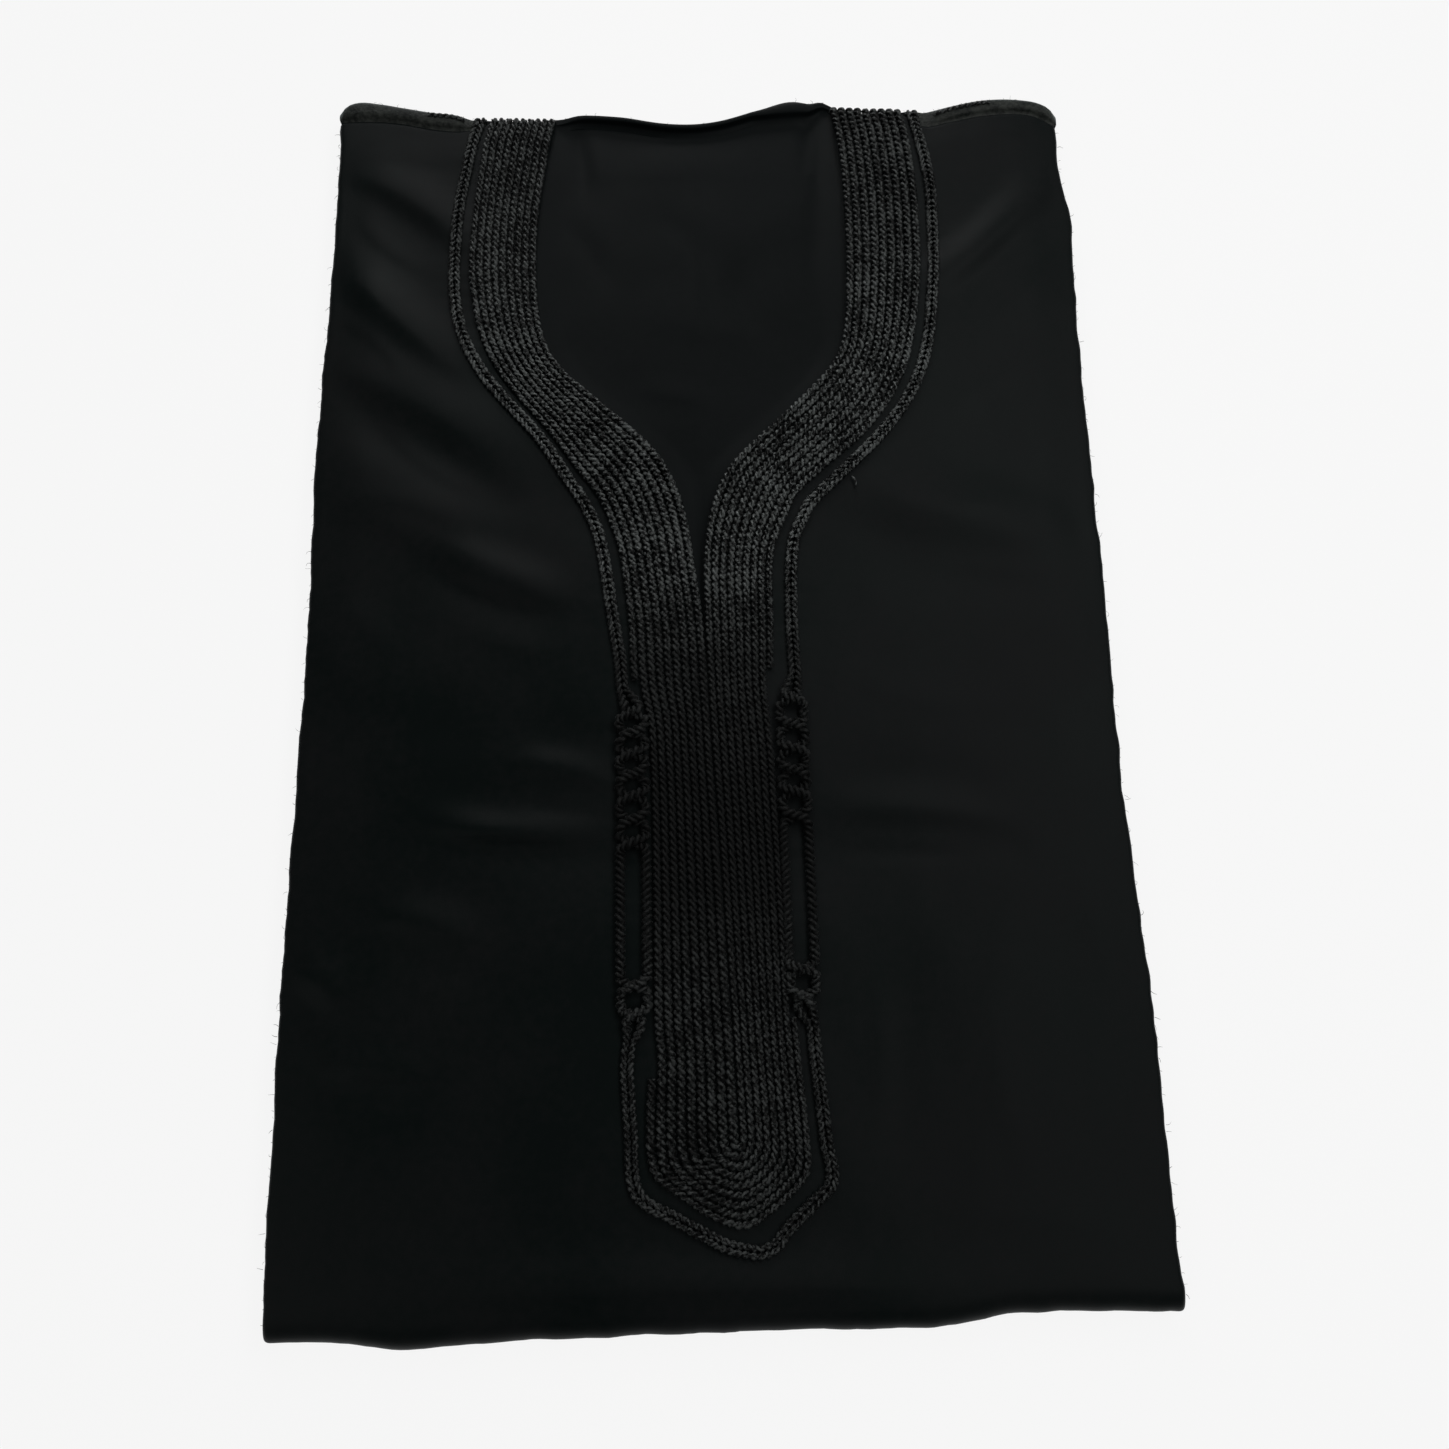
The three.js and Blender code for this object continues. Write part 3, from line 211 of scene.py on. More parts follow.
# Where the braid turns over the shoulder edge: the cloth under it reaches out there by the last number,
# in full between the two middle places.
BRAID_TURNS = ((-122, -114, -82, -70, 1.5), (56, 66, 110, 120, 4.0))


# Small helpers.
def mix(a, b, t):
    return a + (b - a) * t


def columns_of(*values):
    return np.stack(values, axis=1)


def ease(start, end, value):
    """0 before start, 1 after end, smooth between them."""
    t = np.clip((np.asarray(value, float) - start) / (end - start), 0, 1)
    return t * t * (3 - 2 * t)


def along(rows, key, column, at):
    """One column of a table as a smooth curve, at a key that rises down the table."""
    keys, values = rows[key], rows[column]
    last = len(keys) - 1
    at = np.clip(at, keys[0], keys[last])
    i = np.clip(np.searchsorted(keys, at) - 1, 0, last - 1)
    before, after = np.maximum(i - 1, 0), np.minimum(i + 2, last)
    span = keys[i + 1] - keys[i]
    t = (at - keys[i]) / span
    slope = (values[i + 1] - values[before]) / (keys[i + 1] - keys[before]) * span
    next_slope = (values[after] - values[i]) / (keys[after] - keys[i]) * span
    t2, t3 = t * t, t * t * t
    start = (2 * t3 - 3 * t2 + 1) * values[i] + (t3 - 2 * t2 + t) * slope
    return start + (3 * t2 - 2 * t3) * values[i + 1] + (t3 - t2) * next_slope


def wander(at, seed, longest=90.0, count=5):
    """A smooth uneven curve between about -1 and 1, the same each time for one seed."""
    rng = np.random.default_rng(seed)
    total = np.zeros_like(np.asarray(at, float))
    for _ in range(count):
        wavelength = longest * rng.uniform(0.25, 1)
        total = total + rng.uniform(0.4, 1) * np.sin(2 * np.pi * (at / wavelength + rng.random()))
    return total / (0.55 * count)


def waviness(x, y, seed, longest, count=9):
    """Smooth uneven ups and downs over the cloth, between about -1 and 1."""
    rng = np.random.default_rng(seed)
    total = np.zeros_like(np.asarray(x, float))
    for _ in range(count):
        direction = rng.uniform(0, 2 * np.pi)
        wavelength = longest * rng.uniform(0.35, 1)
        distance = x * math.cos(direction) + y * math.sin(direction)
        total = total + np.sin(2 * np.pi * (distance / wavelength + rng.random()))
    return total / (0.7 * count)


# Neck trim.
def with_stations(rows, side_sign):
    """Adds a running station number and the direction across the trim."""
    count = len(rows["x"])
    before = np.maximum(np.arange(count) - 1, 0)
    after = np.minimum(np.arange(count) + 1, count - 1)
    dx = rows["x"][after] - rows["x"][before]
    dy = rows["y"][after] - rows["y"][before]
    length = np.hypot(dx, dy)
    station = np.arange(count, dtype=float)
    level = np.minimum(1, 0.1 + station / 4)
    across_x = side_sign * -dy / length
    across_y = level * side_sign * dx / length
    return {**rows, "station": station, "across_x": across_x, "across_y": across_y}


TRIM = {"left": with_stations(LEFT_TRIM, -1), "right": with_stations(RIGHT_TRIM, 1)}


def last_station(side):
    """Number of the station where one side meets the tab."""
    return len(TRIM[side]["x"]) - 1


def trim_value(side, column, station):
    return along(TRIM[side], "station", column, station)


def trim_point(side, station, offset):
    """A point at a station, an offset away from the edge of the opening."""
    ax = trim_value(side, "across_x", station)
    ay = trim_value(side, "across_y", station)
    length = np.hypot(ax, ay)
    x = trim_value(side, "x", station) + ax / length * offset
    y = trim_value(side, "y", station) + ay / length * offset
    return x, y


def row_point(side, station, row):
    """Middle of one cord row at a station, and the width that the row has there."""
    band = trim_value(side, "band", station)
    rows = trim_value(side, "rows", station)
    x, y = trim_point(side, station, band * (row - 0.5) / rows)
    return x, y, band / rows


def tab_point(angle, row):
    """Rows turn round the tab: the inner ones round, the outer ones as pointed as the tab."""
    share = (row - 0.5) / ROW_COUNT
    radians = np.radians(angle)
    round_radius = TAB_RADIUS - TAB_LEAN * np.cos(radians)
    reach = mix(round_radius, along(TAB, "angle", "band", angle), share)
    x = TAB_CENTRE[0] + reach * share * np.cos(radians)
    y = TAB_CENTRE[1] + reach * share * np.sin(radians)
    return x, y, reach / ROW_COUNT


def station_at(side, y):
    """Station whose inner edge lies at a height y."""
    ys = TRIM[side]["y"]
    last = len(ys) - 1
    i = np.clip(np.searchsorted(-ys, -np.asarray(y, float)) - 1, 0, last - 1)
    return np.clip(i + (ys[i] - y) / (ys[i] - ys[i + 1]), 0, last)


def opening_edge(side, y):
    return trim_point(side, station_at(side, y), 0)[0]


def trim_outside(side, y):
    """Outer side of the edge cords at a height y, as an x."""
    station = station_at(side, y)
    edge = trim_value(side, "edge", station)
    return trim_point(side, station, edge)[0]


# Heights of the cloth.
def fold_height(x, y):
    height = np.zeros_like(np.asarray(x, float))
    for x0, y0, x1, y1, width, size in zip(*FOLDS.values()):
        dx, dy = x1 - x0, y1 - y0
        t = np.clip(((x - x0) * dx + (y - y0) * dy) / (dx * dx + dy * dy), 0, 1)
        away = np.hypot(x - x0 - t * dx, y - y0 - t * dy) / width
        height = height + size * np.sin(np.pi * mix(0.2, 0.8, t)) * np.exp(-2 * away * away)
    return height


# A crease's own shape, as shares of its width and height.
STEEP_SIDE = 0.62
GENTLE_SIDE = 1.3
TROUGH_DEPTH = 0.45
TROUGH_AWAY = 1.8
TROUGH_WIDTH = 1.5


def crease_height(creases, x, y):
    """Soft bowed creases: each leans, has a shallower trough beside it and fades out at its ends."""
    height = np.zeros_like(np.asarray(x, float))
    for x0, y0, x1, y1, bow, width, size in zip(*creases.values()):
        length = math.hypot(x1 - x0, y1 - y0)
        ux, uy = (x1 - x0) / length, (y1 - y0) / length
        t = ((x - x0) * ux + (y - y0) * uy) / length
        inside = np.clip(t, 0, 1)
        across = (y - y0) * ux - (x - x0) * uy - bow * 4 * inside * (1 - inside)
        fade = ease(-0.12, 0.4, t) * (1 - ease(0.55, 1.12, t))
        half = width * np.where(across < 0, STEEP_SIDE, GENTLE_SIDE)
        ridge = np.exp(-((across / half) ** 2))
        trough = TROUGH_DEPTH * np.exp(-(((across - TROUGH_AWAY * width) / (TROUGH_WIDTH * width)) ** 2))
        height = height + size * fade * (ridge - trough)
    return height


def side_edge(side, y):
    return along(SIDES, "y", side, y) + SIDE_SPREAD[side]


def from_sides(x, y):
    """Distance in from the nearer side edge."""
    return np.minimum(x - side_edge("left", y), side_edge("right", y) - x)


def under_braid(x):
    """How much further the cloth reaches where the braid turns over the shoulder edge."""
    return sum(out * (ease(a, b, x) * (1 - ease(c, d, x))) for a, b, c, d, out in BRAID_TURNS)


def shoulder_fold(x):
    return along(SHOULDER, "x", "fold", x) + FOLD_SPREAD + under_braid(x)


def front_edge(x):
    return along(SHOULDER, "x", "front", x) + under_braid(x)


# How far in from its edges the front droops or lies calm, and the heights where its shapes fade in.
SIDE_SOFT = 26
SHOULDER_SOFT = 16
SHOULDER_CALM = 30
CREASES_IN = 14
FOLDS_FADE = (-292, -250)
CREASES_FADE = (-300, -286)
RIPPLES_FADE = (-268, -250)

# Ripples beside the trim: distance from one to the next, height, and how far out they reach.
RIPPLE_LENGTH = 8.5
RIPPLE_HEIGHT = 0.22
RIPPLE_REACH = 5.5

# Below OPENING_END nothing is open, so the distance in from the opening's edge is NOTHING_OPEN there.
# The back panel dips over the distances in DIP_FADE, and keeps under all of the front within UNDER_REACH.
OPENING_END = -8
NOTHING_OPEN = -99.0
DIP_FADE = (-3, 13)
UNDER_REACH = 10


def front_height(x, y):
    from_shoulder = front_edge(x) - y
    flat = ease(0, SIDE_SOFT, from_sides(x, y))
    calm = flat * ease(*FOLDS_FADE, y) * ease(0, SHOULDER_CALM, from_shoulder)
    end_droop = DROOP * (1 - ease(0, SHOULDER_SOFT, from_shoulder)) * flat
    return TOP + fold_height(x, y) * calm - DROOP * (1 - flat) - end_droop


def pucker(x, y):
    """Small ripples beside the trim, where the sewing draws the cloth in."""
    left = trim_outside("left", y) - x
    right = x - trim_outside("right", y)
    away = np.maximum(np.maximum(left, right), 0)
    strength = 0.6 + 0.4 * wander(y, 22, 70)
    ripple = np.sin(2 * np.pi * y / RIPPLE_LENGTH + 2.5 * wander(y, 21, 40)) * strength
    return RIPPLE_HEIGHT * ripple * np.exp(-away / RIPPLE_REACH) * ease(*RIPPLES_FADE, y)


def cloth_height(x, y):
    """Height of the front as it shows: the large folds with creases and small waves on them."""
    calm = ease(0, CREASES_IN, from_sides(x, y)) * ease(*CREASES_FADE, y)
    small = 0.16 * waviness(x, y, 3, 90) + 0.07 * waviness(x, y, 4, 26)
    return front_height(x, y) + calm * (crease_height(CREASES, x, y) + small + pucker(x, y))


def inside_opening(x, y):
    """Distance in from the edge of the neck opening, below 0 outside it."""
    gap = np.minimum(x - opening_edge("left", y), opening_edge("right", y) - x)
    return np.where(np.asarray(y) < OPENING_END, NOTHING_OPEN, gap)


def lowest_front(x, y, reach):
    """Lowest height of the front near a point, for what lies under it."""
    top = front_edge(x)
    lowest = front_height(x, np.minimum(y, top))
    for dx, dy in ((reach, reach), (-reach, reach), (reach, -reach), (-reach, -reach)):
        lowest = np.minimum(lowest, front_height(x + dx, np.minimum(y + dy, top)))
    return lowest + np.minimum(0, crease_height(CREASES, x, y))


def back_height(x, y):
    dip = OPENING_DIP * ease(*DIP_FADE, inside_opening(x, y))
    return lowest_front(x, y, UNDER_REACH) - CLOTH - LIE - dip


def back_cloth_height(x, y):
    """The back panel as it shows inside the neck opening."""
    open_share = ease(2, 16, inside_opening(x, y))
    shape = crease_height(BACK_CREASES, x, y) + 0.2 * waviness(x, y, 9, 60)
    return back_height(x, y) + open_share * shape


# Mesh building.
def add_object(name, data):
    made = bpy.data.objects.new(name, data)
    bpy.context.scene.collection.objects.link(made)
    return made


def make_piece(name, points, faces, material, slot):
    """A mesh object from points in millimetres, smooth shaded, riding on the garment."""
    mesh = bpy.data.meshes.new(name)
    places = ((np.asarray(points) + CENTRE_SHIFT) * MM).tolist()
    mesh.from_pydata(places, [], [list(map(int, face)) for face in faces])
    mesh.materials.append(material)
    mesh.polygons.foreach_set("use_smooth", [True] * len(mesh.polygons))
    mesh.update()
    piece = add_object(name, mesh)
    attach(piece, "root")
    return piece


def grid_faces(rows, columns):
    """Quads between neighbouring rows of points."""
    a = (np.arange(rows - 1)[:, None] * columns + np.arange(columns - 1)[None, :]).ravel()
    return columns_of(a, a + columns, a + columns + 1, a + 1)


def vertex_normals(points, faces):
    diagonal_a = points[faces[:, 2]] - points[faces[:, 0]]
    diagonal_b = points[faces[:, 3]] - points[faces[:, 1]]
    face_normals = np.cross(diagonal_a, diagonal_b)
    normals = np.zeros_like(points)
    for corner in range(4):
        np.add.at(normals, faces[:, corner], face_normals)
    return normals / np.maximum(np.linalg.norm(normals, axis=1), 1e-9)[:, None]


def closed_shell(points, faces, thickness):
    """Turns an open sheet of quads into a closed wall: outer face, inner face and rim."""
    inner = points - vertex_normals(points, faces) * thickness
    count = len(points)
    edges = {}
    for a, b, c, d in faces.tolist():
        for p, q in ((a, b), (b, c), (c, d), (d, a)):
            if (q, p) in edges:
                del edges[(q, p)]
            else:
                edges[(p, q)] = True
    rim = np.array([(q, p, p + count, q + count) for p, q in edges])
    everything = np.concatenate([faces, faces[:, ::-1] + count, rim])
    return np.concatenate([points, inner]), everything


def bottom_fold(x):
    return along(BOTTOM, "x", "y", x) - along(BOTTOM_SPREAD, "x", "out", x)


# Front panel: rows across the packet, from the shoulder edge down the top, round the bottom fold and back
# underneath to the hem. Past OUTLINE_FROM the rows are drawn to the outline of the shoulder or the fold.
TOP_ROW = 287.9
LAST_ROW = -287
NOMINAL_TOP = 290
NOMINAL_BOTTOM = -300
OUTLINE_FROM = 236
OUTLINE_BOTTOM = -286
SLIT_END = -9
EDGE_ROLL = 2.5
EDGE_ANGLES = (56, 43, 29, 15)
BEND_Y = -288.0
BEND_ANGLES = np.arange(84, -91, -12)
UNDER_FROM = -272.0
HEM_STITCH_Y = 258.0
HEM_FOLD_Y = 270.0
HEM_Y = 283.0
HEM_GROOVE = 0.32
HEM_GROOVE_HALF = 1.1
COLUMN_CROWDING = 1.15


def section(y, split, underside):
    """One section across the packet: position across, the same kept to the flat part, and drop."""
    halves = []
    for side, sign in (("left", -1), ("right", 1)):
        wobble = 0.5 * wander(y, 31 + sign, 70) + 0.25 * wander(y, 41 + sign, 18)
        edge = side_edge(side, y) + (0 if underside else wobble)
        radius = ROLL / 2
        flat_end = edge - sign * radius
        angles = np.pi * np.arange(ROLL_STEPS, 0, -1) / ROLL_STEPS
        hook = flat_end - sign * HOOK * np.array([1, 0.5])
        rolled = flat_end + sign * radius * np.sin(angles)
        middle = mix(opening_edge("left", y), opening_edge("right", y), 0.5)
        inner = opening_edge(side, y) + sign * 0.5 if split else middle
        t = np.arange(FLAT_COLUMNS + 1) / FLAT_COLUMNS
        flat = mix(flat_end, inner, 1 - (1 - t) ** COLUMN_CROWDING)
        x = np.concatenate([hook, rolled, flat])
        drop = np.concatenate([[ROLL, ROLL], radius * (1 - np.cos(angles)), np.zeros_like(flat)])
        over = np.maximum(x, flat_end) if side == "left" else np.minimum(x, flat_end)
        half = np.stack([x, over, drop])
        halves.append(half if side == "left" else half[:, ::-1])
    return np.concatenate(halves, axis=1)


def side_droop(x, y):
    """How far the cloth has sunk at a place near its side folds."""
    return DROOP * (1 - ease(0, SIDE_SOFT, from_sides(x, y)))


def upper_row(nominal):
    """A row of the top face."""
    x, over, drop = section(nominal, nominal > SLIT_END, False)
    up = (front_edge(over) - NOMINAL_TOP) * ease(OUTLINE_FROM, NOMINAL_TOP, nominal)
    down = (bottom_fold(over) - NOMINAL_BOTTOM) * ease(-OUTLINE_FROM, OUTLINE_BOTTOM, nominal)
    y = nominal + up + down
    return columns_of(x, y, cloth_height(over, y) - drop)


def bend_row(angle):
    """A row round the bottom fold, at an angle above its middle plane."""
    x, over, drop = section(BEND_Y, False, True)
    reach = TOP - side_droop(over, BEND_Y) - drop - AXIS
    soft = 0.35 * wander(x, 51, 60) + 0.15 * wander(x, 52, 17)
    centre = bottom_fold(over) + AXIS * BEND_STRETCH
    forward = mix(reach, AXIS, CORNER_FILL) * BEND_STRETCH + soft
    y = centre - forward * math.cos(math.radians(angle))
    return columns_of(x, y, AXIS + reach * math.sin(math.radians(angle)))


def under_row(y):
    """A row of the half that is turned under and lies flat on the floor."""
    x, over, drop = section(y, False, True)
    groove = HEM_GROOVE * np.exp(-(((y - HEM_STITCH_Y) / HEM_GROOVE_HALF) ** 2))
    z = side_droop(over, y) + drop + np.where(drop == 0, groove, 0)
    return columns_of(x, np.full_like(x, y), z)


def shoulder_row(angle):
    """A row of the front's shoulder edge, rolled down towards the back's groove."""
    row = upper_row(TOP_ROW)
    row[:, 1] += EDGE_ROLL * math.sin(math.radians(angle))
    row[:, 2] -= EDGE_ROLL * (1 - math.cos(math.radians(angle)))
    return row


def front_cloth(material):
    heights = np.arange(TOP_ROW, LAST_ROW, -ROW_STEP)
    rows = [shoulder_row(angle) for angle in EDGE_ANGLES]
    rows += [upper_row(y) for y in heights]
    split_rows = len(EDGE_ANGLES) + int(np.sum(heights > SLIT_END))
    rows += [bend_row(angle) for angle in BEND_ANGLES]
    coarse = list(np.linspace(UNDER_FROM, HEM_STITCH_Y - 6, 22))
    fine = list(np.arange(HEM_STITCH_Y - 3, HEM_STITCH_Y + 3.5, 0.75))
    rows += [under_row(y) for y in coarse + fine + [HEM_FOLD_Y, HEM_Y]]
    points = np.array(rows)
    height, width = points.shape[:2]
    middle = width // 2
    faces = grid_faces(height, width)
    between = faces[:, 0] % width == middle - 1
    faces = faces[~between]
    flat = points.reshape(-1, 3)
    replace = np.arange(height * width)
    joined = np.arange(split_rows, height) * width + middle
    replace[joined] = joined - 1
    faces = replace[faces]
    used, compact = np.unique(faces, return_inverse=True)
    flat, faces = closed_shell(flat[used], compact.reshape(faces.shape), CLOTH)
    return make_piece("front_cloth", flat, faces, material, "sateen")


# Back panel, inside face up in the neck opening. Its shoulder edge is turned down and under.
# Step 0 lies flat, step 1 is the groove behind the front's cut edge, step 5 the fold, step 8 the under side.
# The share is the distance from the groove (0) to the fold (1).
TURNED = table("step share out up wide", [
    (0, 0, -8, 0, 186), (1, 0, 0, 0, 188.8), (2, 0.24, 0, 2.2, 189.2), (3, 0.52, 0, 2.7, 189.3),
    (4, 0.82, 0, 2.2, 189.3), (5, 1, 0, 0.3, 189.3), (6, 1, -0.6, -1.8, 189.2), (7, 1, -2.6, -2.8, 187),
    (8, 1, -6.6, -3.0, 163),
])
BACK_WIDTH = 173.0
BACK_COLUMNS = 150
BACK_ROWS = np.arange(-46, 263, 3.0)
TURNED_STEPS = np.concatenate([[0, 0.5], np.arange(1, 8.01, 0.25)])
GROOVE_BEHIND = 0.8
GROOVE_TO_FOLD = 4.4
NECK_Y = 270
SHEEN_PAINTED_FROM = 113.0
CORNER_START = 182.5
CORNER_ROUND = 7.0


def turned_row(step, share):
    """A row of the turned shoulder edge, from the flat part round to the under side."""
    out = along(TURNED, "step", "out", step)
    up = along(TURNED, "step", "up", step)
    past_groove = along(TURNED, "step", "share", step)
    x = share * along(TURNED, "step", "wide", step)
    fold = shoulder_fold(x)
    rise = along(SHOULDER, "x", "rise", x)
    groove = np.minimum(front_edge(x) + GROOVE_BEHIND, fold - GROOVE_TO_FOLD)
    corner = np.clip((np.abs(x) - CORNER_START) / CORNER_ROUND, 0, 1)
    fold = fold - 0.8 * CORNER_ROUND * (1 - np.sqrt(1 - corner**2))
    y = mix(groove, fold, past_groove) + out
    dip = OPENING_DIP * ease(*DIP_FADE, inside_opening(x, NECK_Y)) * (1 - ease(0.5, 2, step))
    level = TOP - CLOTH - LIE - dip
    under = mix(back_cloth_height(x, y), level, ease(0, 1, step))
    wave = 0.35 * wander(x, 61, 55) * ease(0.5, 2, step)
    lifted = np.where(up > 0, up * rise * (1 - 0.7 * corner**2), up)
    return columns_of(x, y + wave, under - DROOP * 0.8 * ease(0, 1, step) + lifted)


def back_cloth(material, sheen_painted_material):
    share = np.linspace(-1, 1, BACK_COLUMNS)
    x = share * BACK_WIDTH
    rows = [columns_of(x, np.full_like(x, y), back_cloth_height(x, y)) for y in BACK_ROWS]
    rows += [turned_row(step, share) for step in TURNED_STEPS]
    points = np.array(rows)
    faces = grid_faces(*points.shape[:2])[:, ::-1]
    shell, faces = closed_shell(points.reshape(-1, 3), faces, CLOTH)
    piece = make_piece("back_cloth", shell, faces, material, "sateen")
    # The turned shoulder strips behind the front's edge get the lighter fold material: its lighter colour is
    # painted sheen, the light that the turned fold catches.
    piece.data.materials.append(sheen_painted_material)
    middle = shell[faces].mean(axis=1)
    behind_front = middle[:, 1] > along(SHOULDER, "x", "front", middle[:, 0]) + 1
    sheen_painted_faces = (np.abs(middle[:, 0]) > SHEEN_PAINTED_FROM) & behind_front
    piece.data.polygons.foreach_set("material_index", sheen_painted_faces.astype(int))
    return piece


# Folded layers between the front and the half turned under.
LAYERS = table("bottom top side_inset end_inset seed", [
    (1.75, 3.5, 24, 7, 71), (3.9, 5.7, 22, 4.6, 72), (6.1, 7.4, 4.2, 5.6, 73), (7.7, 9.0, 2.8, 3.8, 74),
    (9.2, 10.4, 18, 26, 75),
])


LAYER_HALF = 185
LAYER_END = 276
NECK_CUT = 22


def layer_outline(side_inset, end_inset, seed):
    """Edge of one folded layer seen from above, going round with the inside on its left."""
    share = np.linspace(-1, 1, 90)
    x = share * (LAYER_HALF - side_inset)
    corner = 5 * share**8
    neck = NECK_CUT * ease(-100, -76, x) * (1 - ease(76, 100, x))
    low = along(BOTTOM, "x", "y", x) + 15 + corner
    high = shoulder_fold(x) - end_inset - corner - neck
    high = high + 0.8 * wander(x, seed, 70)
    y = np.linspace(-LAYER_END, LAYER_END, 130)
    right = side_edge("right", y) - side_inset + 0.9 * wander(y, seed + 10, 80)
    left = side_edge("left", y) + side_inset + 0.9 * wander(y, seed + 20, 80)
    rims = ((x, low), (right, y), (x[::-1], high[::-1]), (left[::-1], y[::-1]))
    return np.concatenate([np.stack(rim, axis=1) for rim in rims])


def folded_cloth(material):
    points, faces, count = [], [], 0
    for bottom, top, side_inset, end_inset, seed in zip(*LAYERS.values()):
        outline = layer_outline(side_inset, end_inset, int(seed))
        before, after = np.roll(outline, 1, axis=0), np.roll(outline, -1, axis=0)
        direction = after - before
        direction = direction / np.linalg.norm(direction, axis=1)[:, None]
        inward = np.stack([-direction[:, 1], direction[:, 0]], axis=1)
        half = (top - bottom) / 2
        distance = np.cumsum(np.linalg.norm(after - outline, axis=1))
        sag = 0.14 * wander(distance, int(seed) + 30, 60)
        size = len(outline)
        profile = np.radians(np.linspace(-90, 90, 7))
        for angle in profile:
            ring = outline + inward * half * (1 - math.cos(angle)) * 1.2
            z = (top + bottom) / 2 + half * math.sin(angle) + sag
            points.append(np.column_stack([ring, z]))
        ring_start = count
        for r in range(len(profile) - 1):
            a = ring_start + r * size + np.arange(size)
            b = ring_start + r * size + (np.arange(size) + 1) % size
            faces += np.stack([a, b, b + size, a + size], 1).tolist()
        top_start = ring_start + (len(profile) - 1) * size
        count = top_start + size
        points.append(np.array([[0, 0, bottom], [0, 0, top]]))
        for i in range(size):
            j = (i + 1) % size
            faces.append([ring_start + j, ring_start + i, count])
            faces.append([top_start + i, top_start + j, count + 1])
        count += 2
    return make_piece("folded_cloth", np.concatenate(points), faces, material, "sateen")


# Cords.
def smooth_path(path, step):
    """Points of a path, at even steps along it. Columns are x, y, z and width."""
    path = np.asarray(path, float)
    length = np.concatenate([[0], np.cumsum(np.linalg.norm(np.diff(path[:, :3], axis=0), axis=1))])
    keep = np.concatenate([[True], np.diff(length) > 1e-6])
    path, length = path[keep], length[keep]
    rows = {"s": length, **{str(i): path[:, i] for i in range(path.shape[1])}}
    at = np.linspace(0, length[-1], max(2, int(round(length[-1] / step))))
    return np.stack([along(rows, "s", str(i), at) for i in range(path.shape[1])], axis=1), at


def strand_tube(centre, side, up, radius_side, radius_up, start):
    """A closed tube of STRAND_SIDES sides about a line of centres."""
    turns = 2 * np.pi * np.arange(STRAND_SIDES) / STRAND_SIDES
    ring = side[:, None, :] * (np.cos(turns)[None, :, None] * radius_side[:, None, None])
    ring = ring + up[:, None, :] * (np.sin(turns)[None, :, None] * radius_up[:, None, None])
    points = (centre[:, None, :] + ring).reshape(-1, 3)
    last = len(centre) - 1
    i = np.repeat(np.arange(last), STRAND_SIDES) * STRAND_SIDES
    k = np.tile(np.arange(STRAND_SIDES), last)
    n = (k + 1) % STRAND_SIDES
    faces = columns_of(i + k, i + k + STRAND_SIDES, i + n + STRAND_SIDES, i + n)
    faces = (faces + start).tolist()
    faces.append([start + k for k in range(STRAND_SIDES)])
    faces.append([start + last * STRAND_SIDES + k for k in reversed(range(STRAND_SIDES))])
    return points, faces


def joined_tubes(lines):
    """Closed tubes about several lines, as one array of points and one list of faces."""
    points, faces, count = [], [], 0
    for line in lines:
        tube_points, tube_faces = strand_tube(*line, count)
        points.append(tube_points)
        faces += tube_faces
        count += len(tube_points)
    return np.concatenate(points), faces


def twisted_cord(name, path, hand, flatness, material, seed, replaced, twist=TWIST_LENGTH):
    """A cord of STRANDS strands laid along a path, twisted to the left or right (hand -1 or 1)."""
    line, at = smooth_path(path, CORD_STEP)
    centre, width = line[:, :3], line[:, 3]
    tangent = np.gradient(centre, axis=0)
    tangent = tangent / np.linalg.norm(tangent, axis=1)[:, None]
    side = np.stack([tangent[:, 1], -tangent[:, 0], np.zeros(len(at))], axis=1)
    side = side / np.linalg.norm(side, axis=1)[:, None]
    up = np.cross(side, tangent)
    strand = width / (2 + 2 / math.sin(math.pi / STRANDS)) * 1.04
    offset = width / 2 - strand
    phase = hand * 2 * np.pi * (at / twist + 0.12 * wander(at, seed, 60)) + seed
    thick = strand * (1 + 0.05 * wander(at, seed + 1, 12))
    lines = []
    for k in range(STRANDS):
        turn = phase + 2 * np.pi * k / STRANDS
        sideways = side * (offset * np.cos(turn))[:, None]
        upward = up * (flatness * offset * np.sin(turn))[:, None]
        lines.append((centre + sideways + upward, side, up, thick, thick * (0.4 + 0.6 * flatness)))
    piece = make_piece(name, *joined_tubes(lines), material, "cord")
    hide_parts(replaced)
    return piece


# How the cords lie. A flatness is a cord's height as a share of its width, a fill the share of its place
# that a cord takes up, and EDGE_REACH how far the ends go past the shoulder, less a part for each row.
CORD_FLATNESS = 0.74
EDGE_FLATNESS = 0.85
SHOULDER_FLATNESS = 0.7
SHORT_TWIST = 6.2
ROW_FILL = 0.98
OUTER_SIDE_FILL = 0.96
OUTER_TAB_FILL = 0.92
OVER_EDGE = 3.4
EDGE_REACH = {"left": (-0.5, 0.0), "right": (3.5, 0.2)}
STATION_STEP = 0.2


def seated(x, y, width, flatness, lift=0.0):
    """A path on the cloth: the cord's middle is half its height above it."""
    z = cloth_height(x, y) + CORD_SEAT + width * flatness / 2 + lift
    return columns_of(x, y, z, width)


